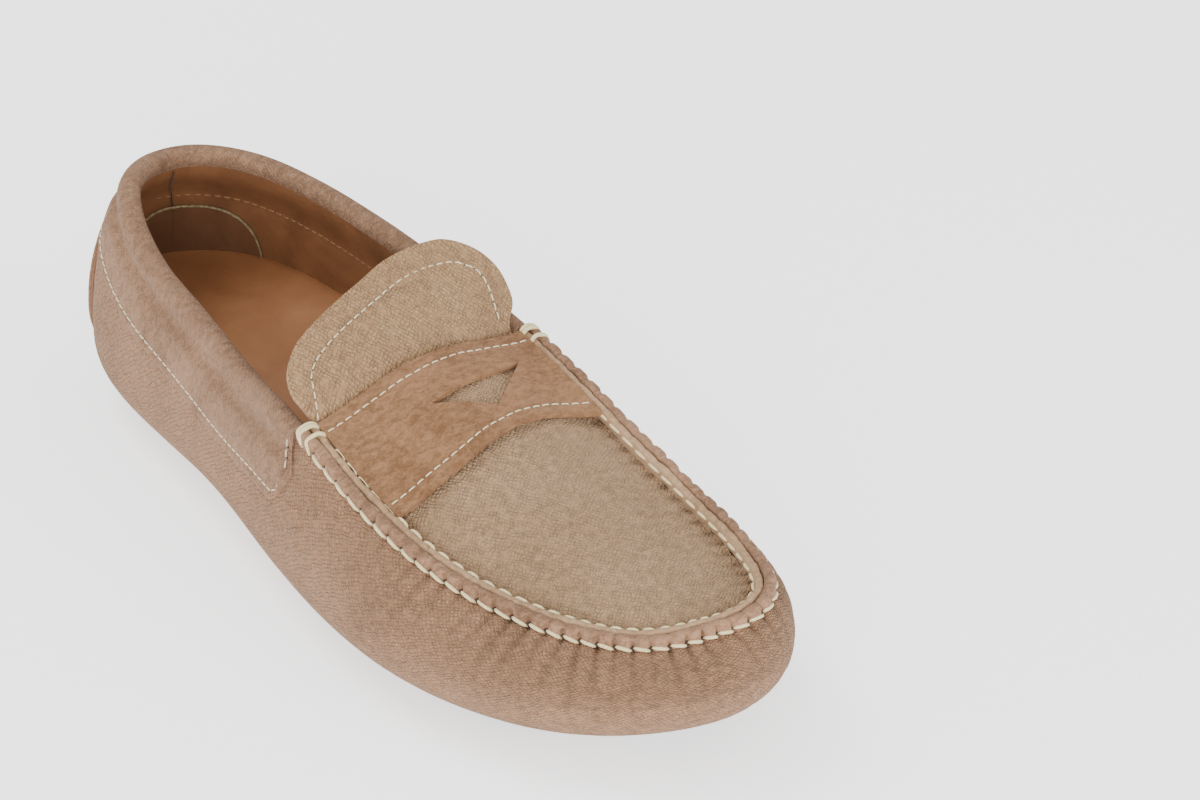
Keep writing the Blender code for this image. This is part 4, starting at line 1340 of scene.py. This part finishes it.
def new_material(name, roughness, sheen=0.0, specular=0.5):
    """A material with its own settings on the shader, and the parts that the others build on."""
    material = bpy.data.materials.new(name)
    material.use_nodes = True
    tree = material.node_tree
    shader = tree.nodes["Principled BSDF"]
    feed(tree, shader, {
        "Roughness": roughness,
        "Specular IOR Level": specular,
        "Sheen Weight": sheen,
        "Sheen Roughness": 0.45,
        "Sheen Tint": (1.0, 0.93, 0.86),
    })
    return material, tree, shader


def object_vector(tree):
    """Position in the shoe's own frame, in metres."""
    return add(tree, "ShaderNodeTexCoord").outputs["Object"]


def leather_vector(tree):
    """Position on the leather's own surface, in metres."""
    return add(tree, "ShaderNodeUVMap", uv_map="leather").outputs["UV"]


def finish_shader(tree, shader, colour, height, strength, distance):
    """Feed the shader's colour, and its normal from a height."""
    bump = add(tree, "ShaderNodeBump", {"Strength": strength, "Distance": distance, "Height": height})
    feed(tree, shader, {"Base Color": colour, "Normal": bump.outputs["Normal"]})


def suede_material(name, nap, tones, grain=None, hollow=False):
    """Suede: brushed tones, worn pale in places, with painted shade in its hollows. grain is a group and its
    numbers.
    """
    light, dark, pale = tones
    material, tree, shader = new_material(name, 0.92, sheen=0.08, specular=0.15)
    fibres = add(tree, "ShaderNodeGroup", {"Vector": object_vector(tree)}, node_tree=nap)
    colour = blend_colours(tree, ramp(tree, fibres.outputs["Tone"], 0.41, 0.60), dark, light)
    rubbed = ramp(tree, noise(tree, object_vector(tree), 22.0, 3.0, 0.6), 0.48, 0.72)
    colour = blend_colours(tree, number(tree, "MULTIPLY", rubbed, 0.45), colour, pale)
    height = number(tree, "MULTIPLY", fibres.outputs["Height"], 0.5)
    if grain is not None:
        group, cell, emboss, furrows = grain
        inputs = {"Vector": leather_vector(tree), "Cell": cell}
        pressed = add(tree, "ShaderNodeGroup", inputs, node_tree=group).outputs["Height"]
        height = number(tree, "MULTIPLY_ADD", pressed, emboss, height)
        furrow = number(tree, "SUBTRACT", 1.0, pressed)
        colour = blend_colours(tree, number(tree, "MULTIPLY", furrow, furrows), colour, dark)
    # painted shade: darker towards a deep brown where the hollow attribute marks pleat troughs and stitch
    # pulls
    if hollow:
        depth = add(tree, "ShaderNodeAttribute", attribute_name="hollow").outputs["Fac"]
        shade = number(tree, "MULTIPLY", ramp(tree, depth, 0.05, 0.65), 0.48)
        deep = tuple(c * 0.40 for c in dark)
        colour = blend_colours(tree, shade, colour, deep)
    finish_shader(tree, shader, colour, height, 0.9, 0.0010)
    return material


def tan_material(smooth, name, light, dark, roughness):
    """Smooth tan leather with darker blotches and a soft shine."""
    material, tree, shader = new_material(name, roughness, specular=0.35)
    leather = add(tree, "ShaderNodeGroup", {"Vector": object_vector(tree)}, node_tree=smooth)
    colour = blend_colours(tree, ramp(tree, leather.outputs["Tone"], 0.32, 0.70), dark, light)
    finish_shader(tree, shader, colour, leather.outputs["Height"], 0.22, 0.0003)
    return material


def thread_material(name, light, dark, twist):
    """Waxed thread with its plies."""
    material, tree, shader = new_material(name, 0.55, sheen=0.2, specular=0.35)
    plies = noise(tree, object_vector(tree), twist, 2.0, 0.6)
    colour = blend_colours(tree, ramp(tree, plies, 0.35, 0.65), dark, light)
    finish_shader(tree, shader, colour, plies, 0.5, 0.0002)
    return material


def rubber_material():
    """Black rubber, dusty on its treads."""
    material, tree, shader = new_material("black_rubber", 0.55, specular=0.4)
    vector = object_vector(tree)
    dust = ramp(tree, noise(tree, vector, 90.0, 4.0, 0.6), 0.35, 0.75)
    colour = blend_colours(tree, dust, (0.011, 0.011, 0.012), (0.028, 0.027, 0.026))
    finish_shader(tree, shader, colour, noise(tree, vector, 1400.0), 0.2, 0.0002)
    return material


# Suede and grained leather: light, dark and rubbed tones, in linear red, green and blue
WALL_TONES = ((0.384, 0.214, 0.122), (0.216, 0.119, 0.066), (0.434, 0.255, 0.151))
COLLAR_TONES = ((0.324, 0.188, 0.114), (0.178, 0.097, 0.054), (0.366, 0.224, 0.141))
SEAM_TONES = ((0.328, 0.188, 0.112), (0.160, 0.087, 0.050), (0.376, 0.224, 0.134))
APRON_TONES = ((0.430, 0.276, 0.160), (0.285, 0.176, 0.096), (0.460, 0.302, 0.180))
TONGUE_TONES = ((0.430, 0.266, 0.142), (0.280, 0.164, 0.082), (0.460, 0.288, 0.160))
STRAP_TONES = ((0.300, 0.158, 0.079), (0.160, 0.078, 0.035), (0.318, 0.173, 0.086))

# Embossed grain: furrows a metre, their depth in the bump, and how dark they are
WALL_GRAIN = (320.0, 0.9, 0.65)
COLLAR_GRAIN = (380.0, 0.40, 0.25)
APRON_GRAIN = (390.0, 0.8, 0.50)
TONGUE_GRAIN = (360.0, 0.9, 0.50)

# Smooth leather: light and dark tone, and roughness
TAN_LEATHERS = {
    "lining": ("lining_leather", (0.250, 0.112, 0.048), (0.136, 0.058, 0.025), 0.50),
    "patch": ("patch_leather", (0.180, 0.083, 0.038), (0.115, 0.052, 0.024), 0.60),
    "insole": ("insole_leather", (0.340, 0.150, 0.062), (0.260, 0.108, 0.042), 0.42),
}

# Thread, cord, and the painted shade in stitch holes: light and dark tone, and scale of the plies
THREADS = {
    "thick": ("thick_thread", (0.790, 0.680, 0.390), (0.570, 0.465, 0.240), 2600.0),
    "fine": ("fine_thread", (0.760, 0.680, 0.500), (0.560, 0.480, 0.320), 3200.0),
    "tan_thread": ("tan_thread", (0.330, 0.165, 0.072), (0.220, 0.100, 0.040), 3200.0),
    "edge_cord": ("edge_cord", (0.300, 0.240, 0.120), (0.150, 0.112, 0.050), 1100.0),
    "lining_seam": ("lining_seam", (0.075, 0.034, 0.016), (0.045, 0.020, 0.010), 900.0),
    "hole_shade": ("stitch_hole_shade", (0.060, 0.034, 0.020), (0.035, 0.020, 0.012), 900.0),
}


def make_materials():
    """All materials by name."""
    nap = suede_nap()
    emboss = embossed_grain()
    smooth = smooth_leather()
    finishes = {
        # hollow=True adds painted shade to the wall's gathers and the apron's stitch pulls
        "wall": suede_material("wall_suede", nap, WALL_TONES, (emboss, *WALL_GRAIN), hollow=True),
        "collar": suede_material("collar_suede", nap, COLLAR_TONES, (emboss, *COLLAR_GRAIN)),
        "seam": suede_material("seam_suede", nap, SEAM_TONES),
        "seam_edge": suede_material("seam_edge", nap, APRON_TONES),
        "apron": suede_material("apron_leather", nap, APRON_TONES, (emboss, *APRON_GRAIN), hollow=True),
        "tongue": suede_material("tongue_leather", nap, TONGUE_TONES, (emboss, *TONGUE_GRAIN)),
        "strap": suede_material("strap_suede", nap, STRAP_TONES),
        "rubber": rubber_material(),
    }
    for key, look in TAN_LEATHERS.items():
        finishes[key] = tan_material(smooth, *look)
    for key, look in THREADS.items():
        finishes[key] = thread_material(*look)
    return finishes


def paint(piece, material):
    """Give a piece its one finish."""
    piece.data.materials.clear()
    piece.data.materials.append(material)


def dress(piece, material):
    """Give a piece its finish and let it ride on the shoe."""
    paint(piece, material)
    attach(piece, "root")


# Stage

def area_light(name, place, target, size, power):
    """A soft white light that points at a target."""
    light = bpy.data.lights.new(name, "AREA")
    light.shape = "RECTANGLE"
    light.size, light.size_y = size
    light.energy = power
    lamp = link_object(name, light)
    lamp.location = place
    lamp.rotation_euler = (Vector(target) - Vector(place)).to_track_quat("-Z", "Y").to_euler()


# Lights: name, place, target, size and power in watts
LIGHTS = (
    ("key", (-0.7, -0.3, 1.5), (0.1, 0.0, 0.02), (0.9, 0.9), 17),
    ("fill", (1.2, -1.1, 0.55), (0.1, 0.0, 0.02), (1.4, 0.9), 27),
    ("toe", (1.3, 0.35, 0.40), (0.2, 0.0, 0.02), (0.8, 0.6), 9),
)
FLOOR_HALF = 4.0
FLOOR_TONES = ((0.95, 0.95, 0.95), (0.97, 0.97, 0.97))
FLOOR_GLOW = 1.20
SKY = 0.93
WHITE = (1.0, 1.0, 1.0)


def make_stage():
    """A plain pale floor and soft studio light."""
    corners = [(x * FLOOR_HALF, y * FLOOR_HALF, 0) for x, y in ((-1, -1), (1, -1), (1, 1), (-1, 1))]
    floor = make_piece("floor", corners, [(0, 1, 2, 3)])
    material, tree, shader = new_material("floor_paper", 0.9, specular=0.1)
    shade = blend_colours(tree, noise(tree, object_vector(tree), 3.0), *FLOOR_TONES)
    feed(tree, shader, {"Base Color": shade, "Emission Color": WHITE, "Emission Strength": FLOOR_GLOW})
    paint(floor, material)
    world = bpy.data.worlds.new("studio")
    world.use_nodes = True
    feed(world.node_tree, world.node_tree.nodes["Background"], {"Color": WHITE, "Strength": SKY})
    bpy.context.scene.world = world
    for light in LIGHTS:
        area_light(*light)


# Camera, in degrees, metres and millimetres
VIEW_AZIMUTH = 37.0
VIEW_HEIGHT = 30.0
VIEW_DISTANCE = 1.227
VIEW_TARGET = (0.0184, 0.1261, -0.0355)
VIEW_LENS = 115.4


def make_camera():
    """The camera at the photograph's angle."""
    a = math.radians(VIEW_AZIMUTH)
    e = math.radians(VIEW_HEIGHT)
    back = Vector((math.cos(a) * math.cos(e), -math.sin(a) * math.cos(e), math.sin(e)))
    camera = link_object("camera", bpy.data.cameras.new("camera"))
    camera.data.lens = VIEW_LENS
    camera.data.clip_start = 0.01
    camera.location = Vector(VIEW_TARGET) + back * VIEW_DISTANCE
    camera.rotation_euler = (-back).to_track_quat("-Z", "Y").to_euler()
    bpy.context.scene.camera = camera


def dress_leather(finishes, tongue):
    """Build and dress the leather pieces, from the wall outwards."""
    dress(make_upper(), finishes["wall"])
    collar = make_collar()
    dress(collar, finishes["collar"])
    dress(make_lining(), finishes["lining"])
    for piece, finish in zip(make_heel_patch(), ("patch", "edge_cord", "lining_seam")):
        dress(piece, finishes[finish])
    dress(make_insole(), finishes["insole"])
    for piece, finish in zip(make_seam(), ("seam", "seam_edge")):
        dress(piece, finishes[finish])
    dress(make_apron(), finishes["apron"])
    dress(make_strap(), finishes["strap"])
    dress(make_tongue(tongue), finishes["tongue"])
    tab, backing = make_heel_tab()
    dress(tab, finishes["collar"])
    dress(backing, finishes["lining"])


def dress_thread(finishes, tongue):
    """Build and dress the stitches, the bar tacks and the dark tubes of painted shade in their holes."""
    heavy = [
        *thick_stitches(),
        bar_tack("bar_tack_outer", THROAT_OUTER, 1),
        bar_tack("bar_tack_inner", THROAT_INNER, -1),
    ]
    for piece in heavy:
        dress(piece, finishes["thick"])
    dress(stitch_hole_shades(), finishes["hole_shade"])
    threads, pinholes = fine_stitches(tongue)
    for name, piece in threads.items():
        thread = "tan_thread" if name == "lining_stitches" else "fine"
        dress(piece, finishes[thread])
    dress(pinholes, finishes["hole_shade"])


def main():
    """Set the stage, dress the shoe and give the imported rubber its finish."""
    make_camera()
    make_stage()
    finishes = make_materials()
    tongue = tongue_lines()
    dress_leather(finishes, tongue)
    dress_thread(finishes, tongue)
    for name in ("sole_heel", "sole_forefoot", "sole_toe"):
        paint(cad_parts[name], finishes["rubber"])


main()
